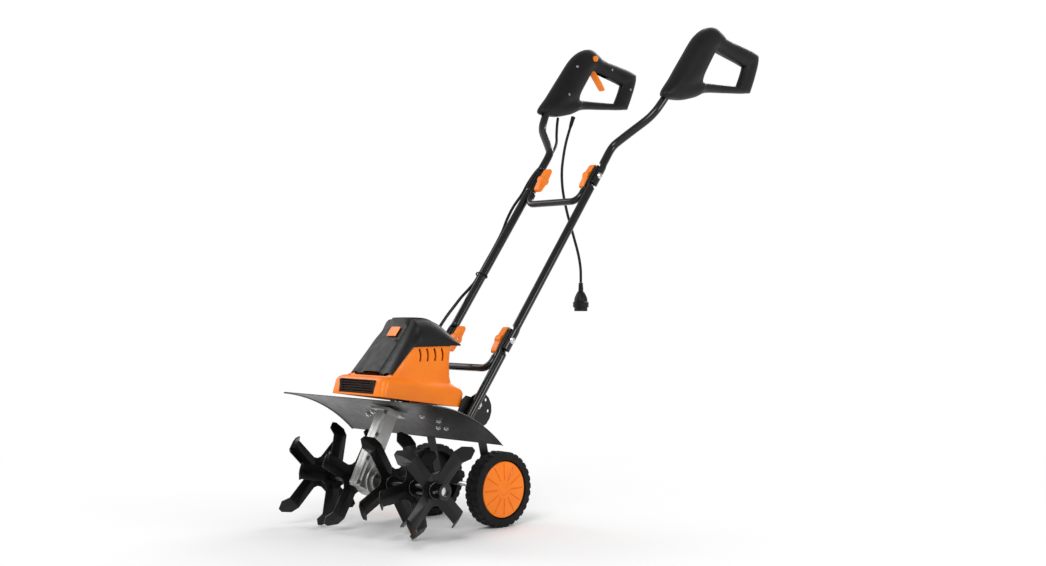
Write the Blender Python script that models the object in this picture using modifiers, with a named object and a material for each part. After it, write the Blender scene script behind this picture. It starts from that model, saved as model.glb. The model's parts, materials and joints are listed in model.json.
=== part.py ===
"""Corded electric garden tiller: six star tines on a worm gearbox, an arched guard, two wheels and a
three-section folding handle. Metres, +Z up, +X is the operator's left and -Y is the front."""

import math

import bmesh
import bpy
from mathutils import Matrix, Vector

# ---- driving dimensions ---------------------------------------------------------------------------
GAP = 0.0003                      # clearance kept between pieces that touch
SIDES = (("left", 1), ("right", -1))
ORIGIN_BEHIND_TINES = 0.4690      # from the tine axis back to the origin

TINE_AXIS_Z = 0.1103
TINE_HALF_WIDTH = 0.2285
STAR_PLANES = (("inner", 0.062, 30), ("middle", 0.135, 10), ("outer", 0.197, 45))
SHAFT_RADIUS = 0.0095
HUB_TUBE_RADIUS = 0.0162

WORM_TILT = math.radians(26.5)    # the worm and motor axis leans back by this
WORM_FOOT = (0.0, -0.030, 0.110)  # a point on the worm axis, level with the tine axis
GUARD_DISTANCE = 0.159            # along the worm axis, from its foot to the underside of the guard
GEARCASE_RADIUS = 0.032

GUARD_CENTRE = (-0.0923, -0.0364)  # y and z of the centre of the guard's bend
GUARD_BEND_RADIUS = 0.323
GUARD_HALF_WIDTH = 0.251
GUARD_FRONT_ANGLE = 82.8
GUARD_REAR_ANGLE = 45.3
SHEET = 0.0016

WALL = 0.0028                     # moulded plastic wall
TUBE_RADIUS = 0.0095
TUBE_WALL = 0.0014
TUBE_X = 0.102
TUBE_SLOPE = 0.742                # the handle's run back for each unit of rise
TUBE_FOOT_Z = 0.236
LOWER_BOLT_Z = 0.396
UPPER_BOLT_Z = 0.770
LAP = 0.026                       # half the length of each pressed lap joint
LAP_TAPER = 0.008
LAP_HALF_THICKNESS = 0.0044
CROSSBAR_RADIUS = 0.0080
CROSSBAR_X = 0.0838
CROSSBAR_LAP = 0.036              # the crossbar's legs stay flat this far below each bolt
CROSSBAR_DROP = 0.074             # from each bolt down the handle to its crossbar
BOLT_RADIUS = 0.0030

WHEEL_RADIUS = 0.0803
WHEEL_X = 0.111
WHEEL_HALF_WIDTH = 0.019
AXLE_RADIUS = 0.0050
AXLE = (0.0, 0.250, WHEEL_RADIUS)
WHEEL_PIVOT = (0.0, 0.208, 0.261)
BRACKET_X = 0.0900
WHEEL_ARM_X = 0.0850
PLATE = 0.0030

GRIP_X = 0.203                    # centre plane of each D-handle
GRIP_WALL = 0.0024
CORD_RADIUS = 0.0035
TRIGGER_PIVOT = (-GRIP_X, 0.869, 1.092)

# Stations round a D-handle: outer edge (y, z), edge of the finger hole (y, z) and half depth.
GRIP_STATIONS = (
    ((0.680, 0.958), (0.826, 1.008), 0.021), ((0.716, 1.003), (0.829, 1.022), 0.024),
    ((0.760, 1.058), (0.845, 1.046), 0.024), ((0.800, 1.106), (0.860, 1.067), 0.024),
    ((0.834, 1.131), (0.867, 1.077), 0.024), ((0.865, 1.140), (0.873, 1.083), 0.023),
    ((0.893, 1.131), (0.886, 1.082), 0.020), ((0.925, 1.117), (0.915, 1.076), 0.017),
    ((1.028, 1.100), (0.982, 1.061), 0.016), ((1.048, 1.082), (0.989, 1.054), 0.014),
    ((1.018, 1.006), (0.967, 1.012), 0.012), ((1.002, 0.995), (0.958, 1.008), 0.011),
    ((0.920, 0.987), (0.910, 1.0055), 0.010), ((0.838, 0.979), (0.842, 1.003), 0.013),
    ((0.790, 0.962), (0.831, 1.003), 0.018), ((0.733, 0.951), (0.8265, 1.005), 0.020))

# Route of the supply cord, from its gland under the right handle down to its plug.
CORD_ROUTE = (
    (-0.2000, 0.7930, 0.9300), (-0.2000, 0.7860, 0.9130), (-0.2000, 0.7790, 0.8950),
    (-0.2000, 0.7720, 0.8720), (-0.2000, 0.7660, 0.8450), (-0.2000, 0.7620, 0.8180),
    (-0.2000, 0.7620, 0.7900), (-0.2000, 0.7660, 0.7600), (-0.2000, 0.7740, 0.7300),
    (-0.2000, 0.7840, 0.7000), (-0.2000, 0.7960, 0.6700), (-0.2000, 0.8080, 0.6400),
    (-0.2000, 0.8180, 0.6150), (-0.2000, 0.8260, 0.5900), (-0.2000, 0.8310, 0.5650),
    (-0.2000, 0.8320, 0.5450), (-0.2000, 0.8320, 0.5280))
# Route of the motor cable down the right-hand tubes, above and below its clip.
CABLE_UPPER_ROUTE = (
    (-0.1960, 0.7430, 0.9480), (-0.1880, 0.7320, 0.9280), (-0.1720, 0.7140, 0.9010),
    (-0.1490, 0.6900, 0.8760), (-0.1290, 0.6580, 0.8510), (-0.1190, 0.6240, 0.8240),
    (-0.1200, 0.5900, 0.7960), (-0.1220, 0.5660, 0.7680), (-0.1220, 0.5440, 0.7380),
    (-0.1260, 0.5200, 0.7080), (-0.1250, 0.4980, 0.6770), (-0.1185, 0.4760, 0.6460),
    (-0.1175, 0.4500, 0.6090), (-0.1175, 0.4230, 0.5730), (-0.1175, 0.3990, 0.5400))
CABLE_LOWER_ROUTE = (
    (-0.1175, 0.3986, 0.5395), (-0.1175, 0.3850, 0.5230), (-0.1165, 0.3660, 0.5070),
    (-0.1110, 0.3400, 0.4900), (-0.0970, 0.3080, 0.4710), (-0.0780, 0.2680, 0.4480),
    (-0.0600, 0.2320, 0.4250), (-0.0490, 0.2060, 0.4040), (-0.0450, 0.1850, 0.3900))

WORM_AXIS = Vector((0.0, math.sin(WORM_TILT), math.cos(WORM_TILT)))
TUBE_AXIS = Vector((0.0, TUBE_SLOPE, 1.0)).normalized()


# ---- scene, materials and placing -----------------------------------------------------------------
def clear_scene():
    for obj in list(bpy.data.objects):
        bpy.data.objects.remove(obj, do_unlink=True)


def new_collection(name):
    collection = bpy.data.collections.new(name)
    bpy.context.scene.collection.children.link(collection)
    return collection


def new_material(name, colour, roughness, metallic=0.0):
    material = bpy.data.materials.new(name)
    material.use_nodes = True
    shader = material.node_tree.nodes["Principled BSDF"]
    shader.inputs["Base Color"].default_value = (*colour, 1.0)
    shader.inputs["Roughness"].default_value = roughness
    shader.inputs["Metallic"].default_value = metallic
    return material


clear_scene()
parts = new_collection("tiller")
cutters = new_collection("cutters")

ORANGE = new_material("orange plastic", (0.95, 0.28, 0.02), 0.40)
BLACK_PLASTIC = new_material("black plastic", (0.03, 0.03, 0.03), 0.55)
BLACK_ENAMEL = new_material("black enamel", (0.012, 0.012, 0.012), 0.22)
BLACK_POWDER = new_material("black powder coat", (0.03, 0.03, 0.03), 0.45)
CAST = new_material("cast aluminium", (0.62, 0.62, 0.60), 0.38, 1.0)
STEEL = new_material("bright steel", (0.70, 0.70, 0.70), 0.28, 1.0)
DARK_STEEL = new_material("dark steel", (0.20, 0.20, 0.21), 0.40, 1.0)
COPPER = new_material("copper winding", (0.70, 0.32, 0.14), 0.35, 1.0)
BRONZE = new_material("bronze", (0.65, 0.42, 0.18), 0.35, 1.0)
TYRE = new_material("tyre plastic", (0.025, 0.025, 0.025), 0.70)


def pivot(name, location, parent=None):
    """An empty on a joint's axis; pieces are placed under it in the machine's own coordinates."""
    empty = bpy.data.objects.new(name, None)
    parts.objects.link(empty)
    empty.parent = parent
    empty["machine"] = location
    origin = Vector(parent["machine"]) if parent else Vector()
    empty.location = Vector(location) - origin
    return empty


def place(obj, material, parent, location=(0, 0, 0), rotation=(0, 0, 0)):
    (parts if material else cutters).objects.link(obj)
    if material:
        obj.data.materials.append(material)
    else:
        obj.hide_render = True
        obj.display_type = "WIRE"
    obj.parent = parent
    obj.location = Vector(location) - Vector(parent["machine"])
    obj.rotation_euler = rotation
    return obj


def shade(obj, angle=40):
    obj.data.shade_smooth()
    obj.data.set_sharp_from_angle(angle=math.radians(angle))
    return obj


# ---- shape helpers --------------------------------------------------------------------------------
def mesh_from(name, bm):
    mesh = bpy.data.meshes.new(name)
    bm.to_mesh(mesh)
    bm.free()
    return bpy.data.objects.new(name, mesh)


def along(axis):
    """Rotation that turns local +Z on to an axis."""
    return Vector(axis).to_track_quat("Z", "Y").to_euler()


def cylinder(name, radius, start, end, material, parent, segments=16):
    start, end = Vector(start), Vector(end)
    bm = bmesh.new()
    bmesh.ops.create_cone(bm, cap_ends=True, segments=segments, radius1=radius, radius2=radius,
                          depth=(end - start).length)
    obj = place(mesh_from(name, bm), material, parent, (start + end) / 2, along(end - start))
    return shade(obj)


def block(name, size, centre, material, parent, rotation=(0, 0, 0)):
    bm = bmesh.new()
    bmesh.ops.create_cube(bm, size=1.0)
    bmesh.ops.scale(bm, vec=size, verts=bm.verts)
    return place(mesh_from(name, bm), material, parent, centre, rotation)


def turned(name, profile, centre, axis, material, parent, steps=16, closed=True, spin=0.0):
    """Turn a (radius, height) profile, listed down its outer side, about an axis through a centre."""
    bm = bmesh.new()
    verts = [bm.verts.new((radius, 0.0, height)) for radius, height in profile]
    edges = zip(verts, verts[1:] + verts[:1]) if closed else zip(verts, verts[1:])
    for edge in edges:
        bm.edges.new(edge)
    rotation = (Matrix.Rotation(spin, 4, Vector(axis)) @ along(axis).to_matrix().to_4x4()).to_euler()
    obj = place(mesh_from(name, bm), material, parent, centre, rotation)
    screw = obj.modifiers.new("turn", "SCREW")
    screw.steps = steps
    screw.render_steps = steps
    screw.use_merge_vertices = True
    screw.merge_threshold = 0.00001
    screw.use_normal_calculate = False
    screw.use_smooth_shade = True
    return obj


def loft(name, rows, material, parent, thickness, outward=(0, 0, 1), wrap=False, cap=False):
    """An open skin through rows of points, thickened inwards; a wrapped one faces away from its middle."""
    bm = bmesh.new()
    grid = [[bm.verts.new(point) for point in row] for row in rows]
    for near, far in zip(grid, grid[1:]):
        count = len(near)
        for i in range(count if wrap else count - 1):
            j = (i + 1) % count
            bm.faces.new((near[i], near[j], far[j], far[i]))
    if cap:
        bm.faces.new(grid[-1])
    bmesh.ops.remove_doubles(bm, verts=bm.verts, dist=0.00001)
    bmesh.ops.recalc_face_normals(bm, faces=bm.faces)
    middle = sum((vert.co for vert in bm.verts), Vector()) / len(bm.verts)
    facing = 0.0
    for face in bm.faces:
        away = face.calc_center_median() - middle if wrap else Vector(outward)
        facing += face.normal.dot(away) * face.calc_area()
    if facing < 0:
        bmesh.ops.reverse_faces(bm, faces=bm.faces)
    obj = place(mesh_from(name, bm), material, parent)
    solidify = obj.modifiers.new("sheet", "SOLIDIFY")
    solidify.thickness = thickness
    solidify.offset = -1.0
    return shade(obj)


def arc(centre, radius, start, end, count):
    """Points on an arc in a plane, angles in degrees."""
    angles = [math.radians(start + (end - start) * i / (count - 1)) for i in range(count)]
    return [(centre[0] + radius * math.cos(a), centre[1] + radius * math.sin(a)) for a in angles]


def flat_plate(name, outline, holes, thickness, x, material, parent, bevel=0.0):
    """A plate in the YZ plane at x, from an outline of (y, z) points and round holes (y, z, radius)."""
    curve = bpy.data.curves.new(name, "CURVE")
    curve.dimensions = "2D"
    curve.fill_mode = "BOTH"
    curve.extrude = thickness / 2 - bevel
    curve.bevel_depth = bevel
    curve.bevel_resolution = 1
    round_up = 1 / math.cos(math.pi / 12)
    loops = [outline] + [arc((y, z), radius * round_up, 0, 330, 12) for y, z, radius in holes]
    for loop in loops:
        spline = curve.splines.new("POLY")
        spline.points.add(len(loop) - 1)
        spline.use_cyclic_u = True
        for point, (y, z) in zip(spline.points, loop):
            point.co = (y, z, 0.0, 1.0)
    obj = bpy.data.objects.new(name, curve)
    return place(obj, material, parent, (x, 0, 0), (math.pi / 2, 0, math.pi / 2))


def wire(name, points, radius, material, parent, resolution=2, caps=True):
    curve = bpy.data.curves.new(name, "CURVE")
    curve.dimensions = "3D"
    curve.bevel_depth = radius
    curve.bevel_resolution = resolution
    curve.use_fill_caps = caps
    spline = curve.splines.new("POLY")
    spline.points.add(len(points) - 1)
    for target, point in zip(spline.points, points):
        target.co = (*point, 1.0)
    return place(bpy.data.objects.new(name, curve), material, parent)


def as_mesh(obj):
    """Swap a curve object for a mesh one, so that it can be cut and joined."""
    bpy.context.view_layer.update()
    depsgraph = bpy.context.evaluated_depsgraph_get()
    mesh = bpy.data.meshes.new_from_object(obj.evaluated_get(depsgraph))
    bm = bmesh.new()
    bm.from_mesh(mesh)
    bmesh.ops.remove_doubles(bm, verts=bm.verts, dist=0.00001)
    bm.to_mesh(mesh)
    bm.free()
    name, parent, collection = obj.name, obj.parent, obj.users_collection[0]
    location, rotation = obj.location.copy(), obj.rotation_euler.copy()
    hidden, display = obj.hide_render, obj.display_type
    bpy.data.objects.remove(obj, do_unlink=True)
    swapped = bpy.data.objects.new(name, mesh)
    collection.objects.link(swapped)
    swapped.parent = parent
    swapped.location = location
    swapped.rotation_euler = rotation
    swapped.hide_render = hidden
    swapped.display_type = display
    return shade(swapped)


def boolean(obj, other, operation="DIFFERENCE"):
    modifier = obj.modifiers.new(operation.lower(), "BOOLEAN")
    modifier.operation = operation
    modifier.object = other
    return obj


def smooth_route(points, spacing):
    """Points at even spacing on a smooth curve through a route."""
    route = [Vector(point) for point in points]
    ends = [2 * route[0] - route[1]] + route + [2 * route[-1] - route[-2]]
    fine = []
    for a, b, c, d in zip(ends, ends[1:], ends[2:], ends[3:]):
        for step in range(12):
            t = step / 12
            fine.append(0.5 * (2 * b + (c - a) * t + (2 * a - 5 * b + 4 * c - d) * t ** 2
                               + (3 * b - a - 3 * c + d) * t ** 3))
    fine.append(route[-1])
    lengths = [0.0]
    for before, after in zip(fine, fine[1:]):
        lengths.append(lengths[-1] + (after - before).length)
    count = max(2, round(lengths[-1] / spacing))
    even = []
    for i in range(count + 1):
        target = lengths[-1] * i / count
        k = next((n for n, length in enumerate(lengths) if length >= target - 1e-9), len(fine) - 1)
        even.append(fine[k])
    return even


# ---- frames of reference --------------------------------------------------------------------------
def worm_point(distance):
    return Vector(WORM_FOOT) + WORM_AXIS * distance


def guard_z(y):
    return GUARD_CENTRE[1] + math.sqrt(GUARD_BEND_RADIUS ** 2 - (y - GUARD_CENTRE[0]) ** 2)


def on_tube(z, x=TUBE_X):
    return Vector((x, TUBE_SLOPE * z - 0.003, z))


LOWER_BOLT = on_tube(LOWER_BOLT_Z, 0.0)
UPPER_BOLT = on_tube(UPPER_BOLT_Z, 0.0)

machine = pivot("machine", (0, 0, 0))
machine.location = (0, -ORIGIN_BEHIND_TINES, 0)
motor_axis = pivot("motor_axis", tuple(worm_point(0.0)), machine)
tine_axis = pivot("tine_axis", (0, 0, TINE_AXIS_Z), machine)
wheel_carrier = pivot("wheel_carrier", WHEEL_PIVOT, machine)
mid_handle = pivot("mid_handle", tuple(LOWER_BOLT), machine)
trigger_axis = pivot("trigger_axis", TRIGGER_PIVOT, machine)


# ---- guard and covers -----------------------------------------------------------------------------
def make_guard():
    profile = arc(GUARD_CENTRE, GUARD_BEND_RADIUS, GUARD_FRONT_ANGLE, GUARD_REAR_ANGLE, 13)
    rows = [[(x, y, z) for x in (-GUARD_HALF_WIDTH, -0.09, 0.0, 0.09, GUARD_HALF_WIDTH)] for y, z in profile]
    guard = loft("guard", rows, BLACK_POWDER, machine, SHEET)
    shaft_hole = cylinder("guard_shaft_hole", 0.013, worm_point(0.14), worm_point(0.19), None, machine)
    boolean(guard, shaft_hole)
    return guard


def body_ring(front, rear, half, corner, height):
    """One level of the housing: a rounded rectangle whose height follows a function of y."""
    points = []
    corners = (((half - corner), rear - corner, 0), (-(half - corner), rear - corner, 90),
               (-(half - corner), front + corner, 180), ((half - corner), front + corner, 270))
    for x, y, start in corners:
        points += arc((x, y), corner, start, start + 90, 4)
        side = 1 if start == 90 else -1
        if start in (90, 270):
            span = rear - front - 2 * corner
            points += [(-side * half, y - side * span * i / 6) for i in range(1, 6)]
    return [(x, y, height(y)) for x, y in points]


def cover_edge(y):
    """The line where the black cover meets the orange housing: up a slope, then level to the rear."""
    slope = 0.3290 + (y + 0.008) * 0.97
    return min(slope, 0.3870 + 0.03 * min(0.0, 0.15 - y))


def make_housing():
    rings = [
        body_ring(-0.047, 0.172, 0.086, 0.012, lambda y: 0.2900 - 0.152 * (y + 0.047)),
        body_ring(-0.038, 0.180, 0.084, 0.014, lambda y: 0.3240 - 0.152 * (y + 0.038)),
        body_ring(-0.030, 0.158, 0.074, 0.016, lambda y: 0.3290 - 0.120 * (y + 0.030)),
        body_ring(-0.010, 0.156, 0.069, 0.018, lambda y: cover_edge(y) - 0.0040 - 0.0120 * (y > 0.0)),
        body_ring(-0.008, 0.165, 0.0665, 0.018, lambda y: cover_edge(y) - 0.0030)]
    housing = loft("housing", rings, ORANGE, machine, WALL, wrap=True)
    boolean(housing, block("grille_opening", (0.1182, 0.030, 0.0278), (0, -0.0463, 0.3077), None, machine))
    for name, side in SIDES:
        for i in range(4):
            slot = block(f"vent_{name}_{i}", (0.020, 0.0050, 0.022), (side * 0.070, 0.070 + 0.020 * i, 0.3695),
                         None, machine)
            boolean(housing, slot)
    return housing


def make_cover():
    rows = []
    for y in (-0.0060, 0.012, 0.034, 0.056, 0.078, 0.100, 0.122, 0.144, 0.164, 0.1800):
        edge = cover_edge(y) + GAP
        rise = 0.3330 + (y + 0.008) * 1.30 if y < 0.078 else 0.4460 - 7.2 * max(0.0, y - 0.098) ** 2
        top = max(rise, edge + 0.004)
        narrow = 0.044 if y < 0.10 else 0.044 + 0.10 * (y - 0.10)
        half = [(0.0, top + 0.001), (narrow * 0.6, top), (narrow, top - 0.003),
                (0.0610, edge + 0.62 * (top - edge)), (0.0690, edge + 0.25 * (top - edge)), (0.0690, edge)]
        left = [(x, y, z) for x, z in reversed(half)]
        right = [(-x, y, z) for x, z in half[1:]]
        rows.append(left + right)
    return loft("top_cover", rows, BLACK_PLASTIC, machine, WALL, cap=True)


def make_grille():
    """A louvred panel in the front of the housing."""
    grille = block("front_grille", (0.1174, 0.0060, 0.0270), (0, -0.0400, 0.3077), BLACK_PLASTIC, machine)
    for i in range(5):
        slot = block(f"louvre_{i}", (0.104, 0.020, 0.0026), (0, -0.0400, 0.2975 + 0.0051 * i), None, machine,
                     (math.radians(-25), 0, 0))
        boolean(grille, slot)
    return grille


# ---- motor ----------------------------------------------------------------------------------------
def ring(name, inner, outer, start, end, material, parent, steps=16):
    """A ring on the motor axis between two distances along it."""
    half = (end - start) / 2
    profile = [(outer, half), (outer, -half), (inner, -half), (inner, half)]
    return turned(name, profile, worm_point((start + end) / 2), WORM_AXIS, material, parent, steps)


def make_motor():
    profile = [(0.0, 0.310), (0.005, 0.310), (0.005, 0.0300), (0.0072, 0.0284), (0.0072, -0.0016),
               (0.005, -0.0030), (0.005, -0.0080), (0.0, -0.0080)]
    turned("worm_shaft", profile, worm_point(0), WORM_AXIS, DARK_STEEL, motor_axis, 16, closed=False)
    bore = 0.005 + GAP
    armature = [(0.0120, 0.290), (0.0120, 0.2700), (0.0225, 0.2620), (0.0225, 0.2120), (bore, 0.2120), (bore, 0.290)]
    turned("armature", armature, worm_point(0), WORM_AXIS, COPPER, motor_axis)
    ring("motor_stator", 0.0233, 0.0370, 0.208, 0.266, DARK_STEEL, machine)
    ring("motor_end_bracket", 0.005 + GAP, 0.0300, 0.2965, 0.3020, BLACK_PLASTIC, machine)
    fan = ring("cooling_fan", 0.005 + GAP, 0.0110, 0.186, 0.200, BLACK_PLASTIC, motor_axis, 16)
    for i in range(6):
        angle = 2 * math.pi * i / 6
        radial = Vector((1, 0, 0)) * math.cos(angle) + WORM_AXIS.cross(Vector((1, 0, 0))) * math.sin(angle)
        blade = block(f"fan_blade_{i}", (0.0250, 0.0016, 0.0120), worm_point(0.193) + radial * 0.0205, None,
                      motor_axis, Matrix((radial, WORM_AXIS.cross(radial), WORM_AXIS)).transposed().to_euler())
        boolean(fan, blade, "UNION")


# ---- gearbox and tines ----------------------------------------------------------------------------
def along_worm(name, size, distance, ahead, x, parent=None):
    """A block square to the worm axis, some way along it and ahead of it."""
    forward = Vector((0, -math.cos(WORM_TILT), math.sin(WORM_TILT)))
    centre = worm_point(distance) + forward * ahead + Vector((x, 0, 0))
    return block(name, size, centre, None, parent or machine, (-WORM_TILT, 0, 0))


def make_gearcase(name, side):
    centre = Vector((0, 0, TINE_AXIS_Z))
    case = cylinder(f"gearbox_{name}", GEARCASE_RADIUS, centre - Vector((side * 0.005, 0, 0)),
                    centre + Vector((side * 0.020, 0, 0)), CAST, machine, 24)
    column_length = GUARD_DISTANCE + 0.012
    middle = column_length / 2 - 0.012
    solids = [
        along_worm(f"column_{name}", (0.0330, 0.029, column_length), middle, 0.0, 0.0),
        along_worm(f"seam_flange_{name}", (0.0240, 0.036, column_length - 0.005), middle, 0.003, 0.0),
        along_worm(f"top_flange_{name}", (0.060, 0.050, 0.005), GUARD_DISTANCE - 0.0035, 0.0, 0.0),
        cylinder(f"boss_{name}", 0.0205, centre + Vector((side * 0.010, 0, 0)),
                 centre + Vector((side * 0.0240, 0, 0)), None, machine)]
    for solid in solids:
        boolean(case, solid, "UNION")
    other_half = block(f"other_half_{name}", (0.100, 0.300, 0.400), (side * (GAP / 2 - 0.050), 0.02, 0.16), None,
                       machine)
    hollows = [
        other_half,
        cylinder(f"wheel_pocket_{name}", 0.0215, centre - Vector((side * 0.01, 0, 0)),
                 centre + Vector((side * 0.0120, 0, 0)), None, machine, 22),
        cylinder(f"worm_bore_{name}", 0.0102, worm_point(-0.0095), worm_point(0.18), None, machine, 14),
        cylinder(f"bearing_seat_{name}", 0.0155 + GAP, centre + Vector((side * 0.0160, 0, 0)),
                 centre + Vector((side * 0.0300, 0, 0)), None, machine, 20),
        cylinder(f"shaft_bore_{name}", SHAFT_RADIUS + 2 * GAP, centre - Vector((side * 0.02, 0, 0)),
                 centre + Vector((side * 0.0310, 0, 0)), None, machine, 18)]
    for hollow in hollows:
        boolean(case, hollow)
    bearing = [(0.0155, 0.0036), (0.0155, -0.0036), (SHAFT_RADIUS + GAP, -0.0036), (SHAFT_RADIUS + GAP, 0.0036)]
    turned(f"tine_bearing_{name}", bearing, centre + Vector((side * 0.0200, 0, 0)), (1, 0, 0), STEEL, machine)


def make_worm_wheel():
    teeth = 20
    outline = []
    for i in range(teeth):
        start = 360 * i / teeth
        outline += arc((0, TINE_AXIS_Z), 0.0190, start, start + 7, 2)
        outline += arc((0, TINE_AXIS_Z), 0.0168, start + 10.5, start + 14.5, 2)
    bore = (0, TINE_AXIS_Z, SHAFT_RADIUS + GAP)
    flat_plate("worm_wheel", outline, [bore], 0.012, 0, BRONZE, tine_axis)


def star_arm(direction, bend, hub_radius):
    """Rows of points across one tine arm, from the hub out to its bent, pointed end."""
    half, rib = 0.0165, 0.0030
    fold = 0.0850
    lean = math.radians(48)
    rows = [
        [(hub_radius * math.cos(a), hub_radius * math.sin(a), 0.0) for a in
         (math.radians(angle) for angle in (-45, -22.5, 0, 22.5, 45))],
        [(0.0215, -0.0215, 0), (0.030, -half, 0), (0.030, 0, rib), (0.030, half, 0), (0.0215, 0.0215, 0)]]
    strip = [[(fold, -half, 0), (fold, 0, rib), (fold, half, 0)]]
    for reach, width in ((0.020, 0.0180), (0.037, 0.0050)):
        r = fold + reach * math.cos(lean)
        z = bend * reach * math.sin(lean)
        strip.append([(r, -width, z), (r, 0, z + rib * (0.037 - reach) / 0.037), (r, width, z)])
    turn = Matrix.Rotation(direction, 3, "Z")
    return [[turn @ Vector(p) for p in row] for row in rows], [[turn @ Vector(p) for p in row] for row in strip]


def make_star(name, side, x, phase):
    """One four-armed tine plate with ribbed arms whose ends are bent to alternate sides."""
    bm = bmesh.new()
    for arm in range(4):
        bend = 1 if arm % 2 else -1
        hub, strip = star_arm(math.pi / 2 * arm, bend, HUB_TUBE_RADIUS + 0.0007)
        inner, root = [[bm.verts.new(p) for p in row] for row in hub]
        for i in range(4):
            bm.faces.new((inner[i], root[i], root[i + 1], inner[i + 1]))
        before = root[1:4]
        for row in strip:
            after = [bm.verts.new(p) for p in row]
            for i in range(2):
                bm.faces.new((before[i], after[i], after[i + 1], before[i + 1]))
            before = after
    bmesh.ops.remove_doubles(bm, verts=bm.verts, dist=0.0001)
    star = place(mesh_from(name, bm), BLACK_ENAMEL, tine_axis, (side * x, 0, TINE_AXIS_Z))
    turn = Matrix.Rotation(math.radians(phase), 4, "X") @ Matrix.Rotation(math.pi / 2, 4, "Y")
    star.rotation_euler = turn.to_euler()
    sheet = star.modifiers.new("sheet", "SOLIDIFY")
    sheet.thickness = 0.0030
    sheet.offset = 0.0
    return shade(star, 25)


def make_tines():
    axis_end = TINE_HALF_WIDTH - 0.006
    cylinder("tine_shaft", SHAFT_RADIUS, (-axis_end, 0, TINE_AXIS_Z), (axis_end, 0, TINE_AXIS_Z), STEEL,
             tine_axis, 20)
    make_worm_wheel()
    inner_end = 0.0245
    half = (TINE_HALF_WIDTH - inner_end) / 2
    tube = [(HUB_TUBE_RADIUS, half), (HUB_TUBE_RADIUS, -half), (SHAFT_RADIUS + GAP, -half),
            (SHAFT_RADIUS + GAP, half)]
    for name, side in SIDES:
        turned(f"hub_tube_{name}", tube, (side * (inner_end + half), 0, TINE_AXIS_Z), (1, 0, 0), BLACK_ENAMEL,
               tine_axis, 20)
        for place_name, x, phase in STAR_PLANES:
            make_star(f"tine_{place_name}_{name}", side, x, side * phase)


# ---- wheels ---------------------------------------------------------------------------------------
def make_brackets():
    """Side plates on the guard that carry the handle tubes and the wheel pivot."""
    pivot_y, pivot_z = WHEEL_PIVOT[1:]
    foot = [(y, guard_z(y) + 0.0006) for y in (0.055, 0.075, 0.095, 0.115, 0.127)]
    outline = foot + [(0.150, 0.200), (0.184, 0.212)] + arc((0.208, 0.250), 0.040, -95, 80, 9)
    outline += [(0.203, 0.284), (0.190, 0.278), (0.176, 0.282), (0.165, 0.274), (0.150, 0.244), (0.090, 0.262)]
    holes = [(pivot_y, pivot_z, 0.0040 + GAP), (0.232, 0.270, 0.0035), (0.238, 0.246, 0.0035)]
    for name, side in SIDES:
        flat_plate(f"handle_bracket_{name}", outline, holes, PLATE, side * BRACKET_X, BLACK_POWDER, machine)
    reach = BRACKET_X + 0.006
    cylinder("wheel_pivot_rod", 0.0040, (-reach, pivot_y, pivot_z), (reach, pivot_y, pivot_z), STEEL, machine,
             16)


def make_wheel_bracket():
    """Two arms from the pivot rod to the axle, joined by a cross bar."""
    start, end = WHEEL_PIVOT[1:], AXLE[1:]
    slope = math.degrees(math.atan2(end[1] - start[1], end[0] - start[0]))
    outline = arc(start, 0.011, slope + 90, slope + 270, 9) + arc(end, 0.010, slope - 90, slope + 90, 9)
    holes = [(*start, 0.0040 + GAP), (*end, AXLE_RADIUS + GAP)]
    arms = []
    for _, side in SIDES:
        arm_name = "wheel_bracket" if side > 0 else "wheel_bracket_right_arm"
        material = BLACK_POWDER if side > 0 else None
        arm = flat_plate(arm_name, outline, holes, PLATE, side * WHEEL_ARM_X, material, wheel_carrier)
        arms.append(as_mesh(arm))
    bar_y, bar_z = 0.223, 0.196
    bar = cylinder("wheel_bracket_bar", 0.0070, (-WHEEL_ARM_X, bar_y, bar_z), (WHEEL_ARM_X, bar_y, bar_z), None,
                   wheel_carrier, 16)
    boolean(arms[0], bar, "UNION")
    boolean(arms[0], arms[1], "UNION")


def make_wheels():
    reach = WHEEL_X + 0.0105
    cylinder("axle", AXLE_RADIUS, (-reach, *AXLE[1:]), (reach, *AXLE[1:]), STEEL, wheel_carrier, 16)
    steps = 20
    rim = WHEEL_RADIUS / math.cos(math.pi / steps)
    bore = AXLE_RADIUS + GAP
    half = WHEEL_HALF_WIDTH
    for name, side in SIDES:
        centre = (side * WHEEL_X, *AXLE[1:])
        wheel_axis = pivot(f"wheel_axis_{name}", centre, wheel_carrier)
        tyre = [(rim, half), (rim, -half), (0.064, -half), (0.064, 0.001), (0.014, 0.001),
                (0.014, -half + 0.001), (bore, -half + 0.001), (bore, 0.0105), (0.014, 0.0105), (0.014, 0.0045),
                (0.060, 0.0045), (0.062, half)]
        turned(f"tyre_{name}", tyre, centre, (side, 0, 0), TYRE, wheel_axis, steps, spin=math.pi / steps)
        cap = [(0.0, 0.0200), (0.020, 0.0195), (0.050, 0.0180), (0.0600, 0.0155), (0.0600, 0.0120),
               (0.0, 0.0120)]
        turned(f"wheel_cap_{name}", cap, centre, (side, 0, 0), ORANGE, wheel_axis, steps, closed=False,
               spin=math.pi / steps)


# ---- handle ---------------------------------------------------------------------------------------
def press_end(obj, bolt, layer_x, round_x, radius):
    """Flatten the tube round a bolt to one layer of its lap joint."""
    for vert in obj.data.vertices:
        distance = abs((vert.co - bolt).dot(TUBE_AXIS))
        share = min(1.0, max(0.0, (LAP + LAP_TAPER - distance) / LAP_TAPER))
        pressed = layer_x + (vert.co.x - round_x) * LAP_HALF_THICKNESS / radius
        vert.co.x += (pressed - vert.co.x) * share


def hollow(obj, wall):
    solidify = obj.modifiers.new("wall", "SOLIDIFY")
    solidify.thickness = wall
    solidify.offset = -1.0
    return obj


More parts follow.
